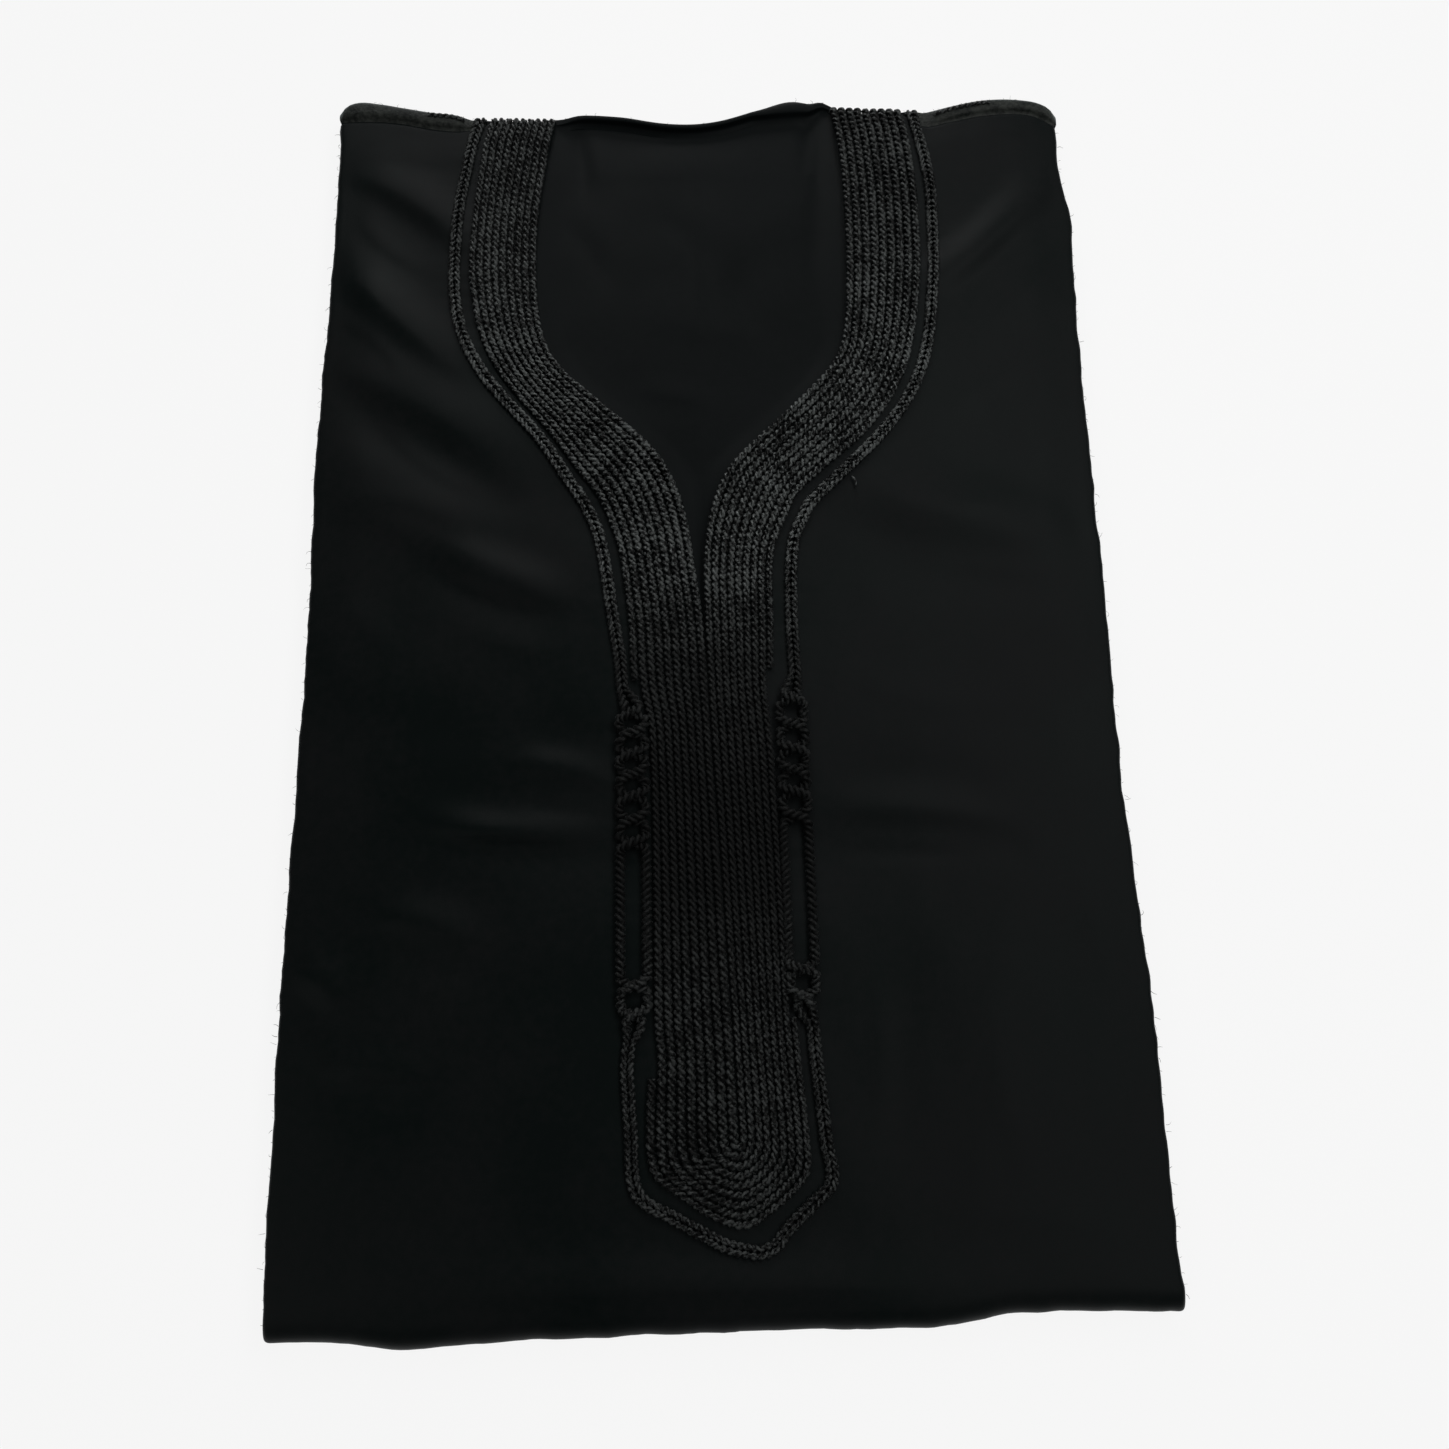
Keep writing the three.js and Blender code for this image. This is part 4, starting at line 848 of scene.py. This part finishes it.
def over_shoulder(path, side, row):
    """The start of a path, drawn out a little and bent down over the shoulder edge."""
    first, second = path[0], path[2]
    away = (first[:2] - second[:2]) / np.linalg.norm(first[:2] - second[:2])
    most, per_row = EDGE_REACH[side]
    reach = most - per_row * row
    angles = np.radians(np.linspace(88 + 7 * math.sin(2.1 * row), 0, 9)[:-1])
    xy = first[:2] + away * (reach + OVER_EDGE * np.sin(angles))[:, None]
    z = first[2] - OVER_EDGE * (1 - np.cos(angles))
    bent = np.column_stack([xy, z, np.full(len(angles), first[3])])
    return np.concatenate([bent, path])


def row_side(side, stations, row, fill=ROW_FILL):
    """One cord row down a side of the opening, from over the shoulder where it starts there."""
    x, y, pitch = row_point(side, stations, row)
    path = seated(x, y, pitch * fill, CORD_FLATNESS)
    return over_shoulder(path, side, row) if stations[0] == 0 else path


def row_path(row):
    left, right = (
        row_side(side, np.arange(0, last_station(side) + 0.01, STATION_STEP), row)
        for side in ("left", "right")
    )
    x, y, pitch = tab_point(np.linspace(180, 360, 26)[1:-1], row)
    turn = seated(x, y, pitch * ROW_FILL, CORD_FLATNESS)
    return np.concatenate([left, turn, right[::-1]])


# The outer row shows down to these heights on each side, and again from these round the tab.
OUTER_ENDS = {"left": -20, "right": -17}
OUTER_STARTS = {"left": -198, "right": -176}


def outer_row_paths():
    """The ninth row: down each side of the neck, and round the tab again."""

    def stretch(side, start, end):
        stations = np.linspace(start, end, max(3, int(abs(end - start) / STATION_STEP)))
        return row_side(side, stations, ROW_COUNT, ROW_FILL * OUTER_SIDE_FILL)

    x, y, pitch = tab_point(np.linspace(180, 360, 60)[1:-1], ROW_COUNT)
    turn = seated(x, y, pitch * OUTER_TAB_FILL, CORD_FLATNESS)
    left_down = stretch("left", station_at("left", OUTER_STARTS["left"]), last_station("left"))
    right_up = stretch("right", last_station("right"), station_at("right", OUTER_STARTS["right"]))
    sides = {side: stretch(side, 0, station_at(side, end)) for side, end in OUTER_ENDS.items()}
    return {**sides, "tab": np.concatenate([left_down, turn, right_up])}


# The chains. Lengths along the slit from a crossing: where the cords begin and end to part, to come down
# from each other and to turn into the plain pair above and below the chain.
FIRST_EYELET = 3.2
PARTING = (3, 13)
COMING_DOWN = (0.8, 4.4)
BECOMING_PLAIN = (2, 14)
CHAIN_ENDS = 14
CHAIN_STEP = 0.8


def chain_at(chain, y, first):
    """Spread of the edge cords about their middle line and which of them is on top, at a height y."""
    crossings = np.array(chain["crossings"], float)
    passed = int(np.sum(y < crossings))
    nearest = int(np.argmin(np.abs(crossings - y)))
    gap = abs(crossings[nearest] - y)
    sign = (1 if passed % 2 == 0 else -1) * first
    outside = passed in (0, len(crossings))
    opened = math.sin(math.pi / 2 * min(1, gap / EYELET_HALF))
    calm = float(ease(*PARTING, gap))
    plain = mix(opened * FIRST_EYELET, EDGE_CORD_PITCH / 2, calm)
    spread = plain if outside else opened * chain["spread"]
    over = (1 if nearest % 2 == 0 else -1) * first
    lift = CROSSING_LIFT * (1 - float(ease(*COMING_DOWN, gap)))
    inside = 1 - float(ease(*BECOMING_PLAIN, gap)) if outside else 1.0
    return sign * spread, over, lift, inside


def edge_cord_side(side, cord_side, first):
    """One edge cord down a side. Columns are x, y, lift and width."""
    chain = CHAINS[side]
    outward = -1 if side == "left" else 1
    top, low = chain["crossings"][0] + CHAIN_ENDS, chain["crossings"][-1] - CHAIN_ENDS
    above = np.arange(0, station_at(side, top), STATION_STEP)
    beside = station_at(side, np.arange(top, low, -CHAIN_STEP))
    below = np.arange(station_at(side, low) + 0.05, last_station(side), STATION_STEP)
    points = []
    for station in np.concatenate([above, beside, below]):
        y = float(trim_value(side, "y", station))
        spread, over, lift, inside = chain_at(chain, y, first)
        edge = float(trim_value(side, "edge", station)) - EDGE_CORD_PITCH
        plain_x, plain_y = trim_point(side, station, edge - cord_side * spread)
        woven_x = chain["centre"] - outward * cord_side * spread
        raised = lift if over * cord_side > 0 else 0.0
        thick = mix(EDGE_CORD_WIDTH, CHAIN_CORD_WIDTH, inside)
        points.append((mix(float(plain_x), woven_x, inside), float(plain_y), raised, thick))
    return np.array(points)


def edge_cord_path(cord_side):
    """The inner (1) or outer (-1) edge cord, from shoulder to shoulder round the tab."""
    left_flips = len(CHAINS["left"]["crossings"]) % 2
    right_flips = len(CHAINS["right"]["crossings"]) % 2
    tab_side = -cord_side if left_flips else cord_side
    right_first = -1 if (left_flips + right_flips) % 2 else 1
    angles = np.radians(np.linspace(180, 360, 70)[1:-1])
    reach = along(TAB, "angle", "edge", np.degrees(angles)) - EDGE_CORD_PITCH * (1 + tab_side / 2)
    turn_x = TAB_CENTRE[0] + reach * np.cos(angles)
    turn_y = TAB_CENTRE[1] + reach * np.sin(angles)
    turn = columns_of(turn_x, turn_y, 0 * turn_x, 0 * turn_x + EDGE_CORD_WIDTH)
    left = edge_cord_side("left", cord_side, 1)
    right = edge_cord_side("right", cord_side, right_first)
    x, y, lift, thick = np.concatenate([left, turn, right[::-1]]).T
    path = seated(x, y, thick, EDGE_FLATNESS, lift)
    for side in ("left", "right"):
        path = over_shoulder(path, side, ROW_COUNT + 1)[::-1]
    return path


SHOULDER_CORDS = {"left": (-143, -124), "right": (124, 154)}
SHOULDER_CORD_WIDTH = 2.6
SHOULDER_CORD_INSET = 3.4
SHOULDER_CORD_SEAT = 0.6
FOLD_RISE = 2.5


def shoulder_cord_path(start, end):
    """A short cord along the turned shoulder edge, just inside its fold."""
    x = np.linspace(start, end, 14)
    y = shoulder_fold(x) - SHOULDER_CORD_INSET
    rise = along(SHOULDER, "x", "rise", x)
    z = TOP - CLOTH - LIE - DROOP * 0.8 + FOLD_RISE * rise + SHOULDER_CORD_SEAT
    return columns_of(x, y, z, np.full_like(x, SHOULDER_CORD_WIDTH))


def trim(material):
    """All the cords. Each has its own seed, so that no two are twisted quite alike."""
    for row in range(1, ROW_COUNT):
        twisted_cord(f"neck_row_{row}", row_path(row), 1, CORD_FLATNESS, material, row, f"neck_cord_{row}")
    for where, path in outer_row_paths().items():
        name = f"neck_cord_9_{where}"
        twisted_cord(f"neck_row_9_{where}", path, 1, CORD_FLATNESS, material, ROW_COUNT, name)
    paths = [
        ("edge_cord_inner", edge_cord_path(1), 1, EDGE_FLATNESS, 11),
        ("edge_cord_outer", edge_cord_path(-1), -1, EDGE_FLATNESS, 12),
    ]
    for seed, (side, ends) in enumerate(SHOULDER_CORDS.items(), start=15):
        paths.append((f"shoulder_cord_{side}", shoulder_cord_path(*ends), 1, SHOULDER_FLATNESS, seed))
    for name, path, hand, flatness, seed in paths:
        twisted_cord(f"{name}_twisted", path, hand, flatness, material, seed, name, SHORT_TWIST)


# Hem stitches on the half turned under.
STITCH_LENGTH = 2.8
STITCH_PITCH = 3.6
STITCH_POINTS = 7
STITCH_RADIUS = 0.22
HEM_HALF = 176


def upright(count):
    """The direction straight up, once for each point of a line."""
    return np.tile([0.0, 0.0, 1.0], (count, 1))


def hem_stitches(material):
    z = 0.34 - 0.12 * np.sin(np.linspace(0, np.pi, STITCH_POINTS))
    radius = STITCH_RADIUS * np.sqrt(np.sin(np.linspace(0.3, np.pi - 0.3, STITCH_POINTS)))
    side = np.tile([0.0, 1.0, 0.0], (STITCH_POINTS, 1))
    lines = []
    for x in np.arange(-HEM_HALF, HEM_HALF, STITCH_PITCH):
        along_x = np.linspace(x, x + STITCH_LENGTH, STITCH_POINTS)
        line = columns_of(along_x, np.full_like(z, HEM_STITCH_Y), z)
        lines.append((line, side, upright(STITCH_POINTS), radius, radius))
    return make_piece("hem_stitches", *joined_tubes(lines), material, "cord")


# Loose fibres along the packet's edges, and the end of a thread beside the right edge cord.
FIBRE_PITCH = 5.0
FIBRE_STEPS = 5


def curled_fibre(start, direction, length, curl, radius):
    """A line that curls away from its start in an arch, thinner to its end, for a tube about it."""
    t = np.linspace(0, 1, FIBRE_STEPS)
    angle = direction + curl * t
    step = length / (FIBRE_STEPS - 1)
    x = start[0] + np.cumsum(np.cos(angle)) * step
    y = start[1] + np.cumsum(np.sin(angle)) * step
    line = np.stack([x, y, start[2] + 0.5 * length * t * (1 - t)], axis=1)
    side = columns_of(-np.sin(angle), np.cos(angle), np.zeros(FIBRE_STEPS))
    thickness = radius * (1 - 0.6 * t)
    return line, side, upright(FIBRE_STEPS), thickness, thickness


def loose_fibres(material):
    """Short fibres that stand out from the side folds and the shoulder fold."""
    rng = np.random.default_rng(91)
    roots = []
    for y in np.arange(-292, 290, FIBRE_PITCH):
        for side, sign, outward in (("left", -1, np.pi), ("right", 1, 0.0)):
            place = y + rng.uniform(-2, 2)
            x = float(side_edge(side, place)) - sign * 0.5
            roots.append(((x, place, TOP - DROOP - rng.uniform(1.2, 3)), outward))
    for x in np.arange(-184, 184, FIBRE_PITCH * 0.8):
        place = x + rng.uniform(-2, 2)
        y = float(shoulder_fold(place)) - 0.8
        roots.append(((place, y, TOP - rng.uniform(1.6, 3)), np.pi / 2))
    fibres = []
    for start, outward in roots:
        direction = outward + rng.uniform(-1.1, 1.1)
        length = 0.9 + 2.2 * rng.random() ** 2
        fibres.append(curled_fibre(start, direction, length, rng.uniform(-2, 2), rng.uniform(0.06, 0.13)))
    return make_piece("loose_fibres", *joined_tubes(fibres), material, "sateen")


def thread_end(material):
    x, y = 67.0, 82.0
    start = (x, y, float(cloth_height(x, y)) + 1.4)
    thread = curled_fibre(start, direction=-0.5, length=6.5, curl=-1.3, radius=0.55)
    return make_piece("thread_end", *joined_tubes([thread]), material, "cord")


# Materials.
def fill(tree, node, inputs):
    """Gives each input of a node a value, or links it from the socket given."""
    for name, value in inputs.items():
        if isinstance(value, bpy.types.NodeSocket):
            tree.links.new(value, node.inputs[name])
        else:
            node.inputs[name].default_value = value


def new_node(tree, kind, at, inputs=None, **settings):
    """A node at a place in the editor, with its settings made and its inputs filled."""
    made = tree.nodes.new(kind)
    made.location = at
    for name, value in settings.items():
        setattr(made, name, value)
    fill(tree, made, inputs or {})
    return made


def new_group(name, inputs, outputs):
    """An empty shader node group with named sockets. Inputs are (name, kind, default)."""
    tree = bpy.data.node_groups.new(name, "ShaderNodeTree")
    for socket, kind, default in inputs:
        made = tree.interface.new_socket(name=socket, in_out="INPUT", socket_type=kind)
        made.default_value = default
    for socket, kind in outputs:
        tree.interface.new_socket(name=socket, in_out="OUTPUT", socket_type=kind)
    return tree, tree.nodes.new("NodeGroupInput"), tree.nodes.new("NodeGroupOutput")


SOFT_NOISE = {"Detail": 2.0, "Roughness": 0.5}
FINE_NOISE = {"Detail": 4.0, "Roughness": 0.6}


def mixed_noise(tree, place, share, first, second):
    """Two noises at the same place, mixed by a share. Each is given as its size and its settings."""
    noises = []
    for height, (size, settings) in ((150, first), (-150, second)):
        inputs = {"Vector": place, "Scale": size, **settings}
        noises.append(new_node(tree, "ShaderNodeTexNoise", (-650, height), inputs).outputs["Fac"])
    inputs = {0: share, 2: noises[0], 3: noises[1]}
    return new_node(tree, "ShaderNodeMix", (-400, 0), inputs, data_type="FLOAT").outputs[0]


def cloth_tone_group():
    """Uneven dye and soft wear: two tones in large soft patches with a finer mottle."""
    tree, source, result = new_group(
        "Cloth tone",
        [("Dark", "NodeSocketColor", (0, 0, 0, 1)), ("Light", "NodeSocketColor", (1, 1, 1, 1)),
         ("Patch size", "NodeSocketFloat", 12.0), ("Mottle size", "NodeSocketFloat", 160.0),
         ("Mottle share", "NodeSocketFloat", 0.35)],
        [("Colour", "NodeSocketColor"), ("Mask", "NodeSocketFloat")],
    )
    given = source.outputs
    place = new_node(tree, "ShaderNodeTexCoord", (-900, 0)).outputs["Object"]
    patches = (given["Patch size"], SOFT_NOISE)
    mottle = (given["Mottle size"], FINE_NOISE)
    both = mixed_noise(tree, place, given["Mottle share"], patches, mottle)
    contrast = {"Value": both, "From Min": 0.38, "From Max": 0.62}
    mask = new_node(tree, "ShaderNodeMapRange", (-200, 0), contrast).outputs["Result"]
    tones = {0: mask, 6: given["Dark"], 7: given["Light"]}
    colour = new_node(tree, "ShaderNodeMix", (0, 100), tones, data_type="RGBA").outputs[2]
    fill(tree, result, {"Colour": colour, "Mask": mask})
    return tree


def thread_group():
    """Fine threads: noise drawn out along one direction, over a coarser slub."""
    tree, source, result = new_group(
        "Threads",
        [("Stretch", "NodeSocketVector", (1.0, 0.15, 1.0)), ("Size", "NodeSocketFloat", 1500.0),
         ("Slub size", "NodeSocketFloat", 300.0), ("Slub share", "NodeSocketFloat", 0.3)],
        [("Height", "NodeSocketFloat")],
    )
    given = source.outputs
    place = new_node(tree, "ShaderNodeTexCoord", (-1100, 0)).outputs["Object"]
    inputs = {0: place, 1: given["Stretch"]}
    drawn_out = new_node(tree, "ShaderNodeVectorMath", (-900, 0), inputs, operation="MULTIPLY").outputs[0]
    fine, slub = (given["Size"], SOFT_NOISE), (given["Slub size"], SOFT_NOISE)
    fill(tree, result, {"Height": mixed_noise(tree, drawn_out, given["Slub share"], fine, slub)})
    return tree


HALF_LENGTH = 0.3


def painted_light_share(tree, look):
    """Painted light along the garment's length: a share that gives the yarn painted shade where it is low and
    painted highlights and glints where it is high.
    """
    place = new_node(tree, "ShaderNodeTexCoord", (-1300, 500)).outputs["Object"]
    parts = new_node(tree, "ShaderNodeSeparateXYZ", (-1100, 500), {0: place}).outputs
    inputs = {"Value": parts["Y"], "From Min": -HALF_LENGTH, "From Max": HALF_LENGTH}
    length = new_node(tree, "ShaderNodeMapRange", (-900, 500), inputs).outputs["Result"]
    ramp = new_node(tree, "ShaderNodeValToRGB", (-700, 500), {"Fac": length})
    stops = ramp.color_ramp.elements
    while len(stops) < len(look["painted_light_ramp"]):
        stops.new(0.5)
    for stop, (at, share) in zip(stops, look["painted_light_ramp"]):
        stop.position = at
        stop.color = (share, share, share, 1)
    return ramp.outputs["Color"]


def painted_light_yarn(tree, share, mask, rough, look):
    """Painted light on the yarn: deep black and dull where the share is low (painted shade), with pale
    painted glints from the mottle and more gloss where it is high.
    """
    least, most = look["painted_glints"]
    inputs = {"Value": mask, "From Min": least, "From Max": most}
    painted_glint = new_node(tree, "ShaderNodeMapRange", (-500, 600), inputs).outputs["Result"]
    inputs = {0: painted_glint, 1: share}
    amount = new_node(tree, "ShaderNodeMath", (-400, 500), inputs, operation="MULTIPLY").outputs["Value"]
    inputs = {0: amount, 6: look["dark"], 7: look["light"]}
    tint = new_node(tree, "ShaderNodeMix", (-300, 400), inputs, data_type="RGBA").outputs[2]
    inputs = {0: share, 2: look["dull"], 3: rough}
    gloss = new_node(tree, "ShaderNodeMix", (-200, 0), inputs, data_type="FLOAT").outputs[0]
    return tint, gloss


def fabric_material(name, tone, threads, look):
    """A fabric: tone and threads from the shared groups, sheen and gloss on the shader's own sockets."""
    material = bpy.data.materials.new(name)
    material.use_nodes = True
    tree = material.node_tree
    inputs = {
        "Dark": look["dark"], "Light": look["light"], "Patch size": look["patch"],
        "Mottle size": look["mottle"], "Mottle share": look["mottle_share"],
    }
    tones = new_node(tree, "ShaderNodeGroup", (-700, 200), inputs, node_tree=tone).outputs
    least, most = look["roughness"]
    inputs = {"Value": tones["Mask"], "To Min": least, "To Max": most}
    roughness = new_node(tree, "ShaderNodeMapRange", (-400, 0), inputs).outputs["Result"]
    colour = tones["Colour"]
    # The cord's colour carries painted light: painted shade and pale painted glints, set by the share of
    # painted light along the length.
    if "painted_light_ramp" in look:
        share = painted_light_share(tree, look)
        colour, roughness = painted_light_yarn(tree, share, tones["Mask"], roughness, look)
    inputs = {"Stretch": look["stretch"], "Size": look["thread"], "Slub size": look["slub"]}
    weave = new_node(tree, "ShaderNodeGroup", (-700, -300), inputs, node_tree=threads).outputs["Height"]
    inputs = {"Height": weave, "Strength": look["bump"], "Distance": look["bump_depth"]}
    bump = new_node(tree, "ShaderNodeBump", (-400, -300), inputs).outputs["Normal"]
    fill(tree, tree.nodes["Principled BSDF"], {
        "Base Color": colour, "Roughness": roughness, "Normal": bump, "Specular IOR Level": look["specular"],
        "Sheen Weight": look["sheen"], "Sheen Roughness": look["sheen_roughness"],
        "Sheen Tint": look["sheen_tint"],
    })
    return material


SATEEN = {
    "dark": (0.003, 0.0067, 0.0063, 1), "light": (0.0086, 0.0103, 0.0107, 1),
    "patch": 11.0, "mottle": 240.0, "mottle_share": 0.3, "roughness": (0.46, 0.56), "specular": 0.13,
    "sheen": 0.03, "sheen_roughness": 0.45, "sheen_tint": (0.75, 0.9, 0.92, 1),
    "stretch": (1.0, 0.12, 1.0), "thread": 2400.0, "slub": 420.0, "bump": 0.35, "bump_depth": 0.00012,
}
INSIDE = {
    **SATEEN, "dark": (0.0034, 0.0056, 0.0058, 1), "light": (0.0066, 0.0088, 0.0094, 1), "specular": 0.09,
}
# The turned shoulder strips: a lighter colour that is painted sheen, the light the turned fold catches, with
# more shader sheen and a coarser fuzz.
SHEEN_PAINTED_FOLD = {
    **SATEEN, "dark": (0.006, 0.008, 0.007, 1), "light": (0.055, 0.06, 0.053, 1),
    "patch": 120.0, "mottle": 520.0, "mottle_share": 0.6, "specular": 0.2, "sheen": 0.3,
    "stretch": (1.0, 1.0, 1.0), "thread": 900.0, "bump": 1.0, "bump_depth": 0.0004,
}

# The yarn, with painted light along its length. The ramp gives the share of painted light at places along the
# length, from the bottom fold (0) to the shoulders (1): low shares are painted shade, high ones painted
# highlights. The glint range is the part of the mottle that shows as pale painted glints, and "dull" the
# roughness where the share is 0.
CORD = {
    # The light tone is the colour of the painted glints.
    "dark": (0.0012, 0.0017, 0.0016, 1), "light": (0.17, 0.184, 0.18, 1), "dull": 0.7, "painted_glints": (0.46, 0.64),
    "painted_light_ramp": (
        (0.0, 0.5), (0.22, 0.3), (0.3, 0.03), (0.38, 0.04),
        (0.48, 0.2), (0.57, 0.95), (0.74, 1.0), (0.88, 0.6),
    ),
    "patch": 50.0, "mottle": 650.0, "mottle_share": 0.8, "roughness": (0.36, 0.2), "specular": 0.34,
    "sheen": 0.05, "sheen_roughness": 0.35, "sheen_tint": (0.85, 0.93, 0.97, 1),
    "stretch": (1.0, 0.5, 1.0), "thread": 3600.0, "slub": 900.0, "bump": 0.6, "bump_depth": 0.0002,
}


# Camera, floor and light. The focal length is in pixels of the photo's own size, the sensor in millimetres.
FOCAL_PIXELS = 1400
SENSOR = 36
LENS = FOCAL_PIXELS / IMAGE_SIZE * SENSOR
CAMERA_PLACE = (-18.0, -228.0, 629.0)
CAMERA_PITCH = 73.07
CAMERA_YAW = 6.66
CAMERA_ROLL = 5.38


def put(thing, place, right, up, back):
    """Puts a camera or lamp at a place in metres, turned so that it looks away from its back."""
    turned = Matrix((right, up, back)).transposed().to_4x4()
    thing.matrix_world = Matrix.Translation(place.tolist()) @ turned


def add_camera():
    pitch, yaw, roll = (math.radians(a) for a in (CAMERA_PITCH, CAMERA_YAW, CAMERA_ROLL))
    level_right = np.array([math.cos(yaw), -math.sin(yaw), 0])
    ahead = np.array([math.sin(yaw), math.cos(yaw), 0])
    forward = ahead * math.cos(pitch) + np.array([0, 0, -1]) * math.sin(pitch)
    level_up = np.cross(level_right, forward)
    right = level_right * math.cos(roll) + level_up * math.sin(roll)
    up = level_up * math.cos(roll) - level_right * math.sin(roll)
    data = bpy.data.cameras.new("camera")
    data.lens = LENS
    data.sensor_width = SENSOR
    data.clip_start = 0.01
    camera = add_object("camera", data)
    put(camera, (np.array(CAMERA_PLACE) + CENTRE_SHIFT) * MM, right, up, -forward)
    bpy.context.scene.camera = camera


FLOOR_HALF = 6.0
FLOOR_GAP = 0.0002
FLOOR_GREY = 0.12
FLOOR_GLOW = 0.885
FLOOR_TONE = 0.92
AMBIENT = 0.03
WHITE = (1, 1, 1, 1)


def add_floor():
    """A pale floor that mostly glows by itself, so the packet's shadow on it stays faint."""
    mesh = bpy.data.meshes.new("floor")
    corners = [(x * FLOOR_HALF, y * FLOOR_HALF, 0) for x, y in ((-1, -1), (1, -1), (1, 1), (-1, 1))]
    mesh.from_pydata(corners, [], [(0, 1, 2, 3)])
    floor = add_object("floor", mesh)
    floor.location.z = -FLOOR_GAP
    material = bpy.data.materials.new("pale floor")
    material.use_nodes = True
    fill(material.node_tree, material.node_tree.nodes["Principled BSDF"], {
        "Base Color": (FLOOR_GREY, FLOOR_GREY, FLOOR_GREY, 1), "Roughness": 1.0,
        "Specular IOR Level": 0.0, "Emission Color": WHITE, "Emission Strength": FLOOR_GLOW,
    })
    mesh.materials.append(material)


# Soft lights: name, place and aim in metres, size in metres, power in watts.
LIGHTS = [
    ("window", (-0.2, 0.86, 0.74), (-0.02, 0.1, 0), 0.34, 1.0),
    ("second window", (0.36, 0.5, 0.8), (0.08, 0.06, 0), 0.3, 0.78),
    ("low back", (0.0, 1.3, 0.42), (0, 0.1, 0), 0.4, 2.0),
    ("side", (0.6, 0.2, 1.0), (0.08, -0.05, 0), 0.5, 1.3),
    ("front", (0.5, -0.45, 0.9), (0.05, -0.15, 0), 0.5, 1.0),
    ("fill", (-0.75, -0.5, 0.9), (-0.08, -0.15, 0), 0.7, 1.1),
]


def add_lights():
    for name, place, aim, size, power in LIGHTS:
        data = bpy.data.lights.new(name, "AREA")
        data.shape = "DISK"
        data.size = size
        data.energy = power
        place = np.array(place)
        back = (place - aim) / np.linalg.norm(place - aim)
        right = np.cross([0, 0, 1], back)
        right = right / np.linalg.norm(right)
        put(add_object(name, data), place, right, np.cross(back, right), back)


def add_world():
    """A white surround for the camera, and a faint one for the light on the garment."""
    world = bpy.data.worlds.new("studio")
    bpy.context.scene.world = world
    world.use_nodes = True
    tree = world.node_tree
    seen = new_node(tree, "ShaderNodeLightPath", (-600, 0)).outputs["Is Camera Ray"]
    inputs = {"Value": seen, "To Min": AMBIENT, "To Max": FLOOR_TONE}
    strength = new_node(tree, "ShaderNodeMapRange", (-300, 0), inputs).outputs["Result"]
    fill(tree, tree.nodes["Background"], {"Color": WHITE, "Strength": strength})


# The scene.
add_camera()
add_floor()
add_lights()
add_world()
bpy.context.scene.view_settings.view_transform = "Standard"

tone = cloth_tone_group()
threads = thread_group()
sateen = fabric_material("black sateen", tone, threads, SATEEN)
inside = fabric_material("black sateen inside", tone, threads, INSIDE)
sheen_painted_fold = fabric_material("sateen fold with painted sheen", tone, threads, SHEEN_PAINTED_FOLD)
cord_yarn = fabric_material("twisted black cord", tone, threads, CORD)

front = front_cloth(sateen)
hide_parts("front")
back = back_cloth(inside, sheen_painted_fold)
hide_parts("back")
layers = folded_cloth(sateen)
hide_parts("folded_layers")
trim(cord_yarn)
hem_stitches(cord_yarn)
loose_fibres(sateen)
thread_end(cord_yarn)
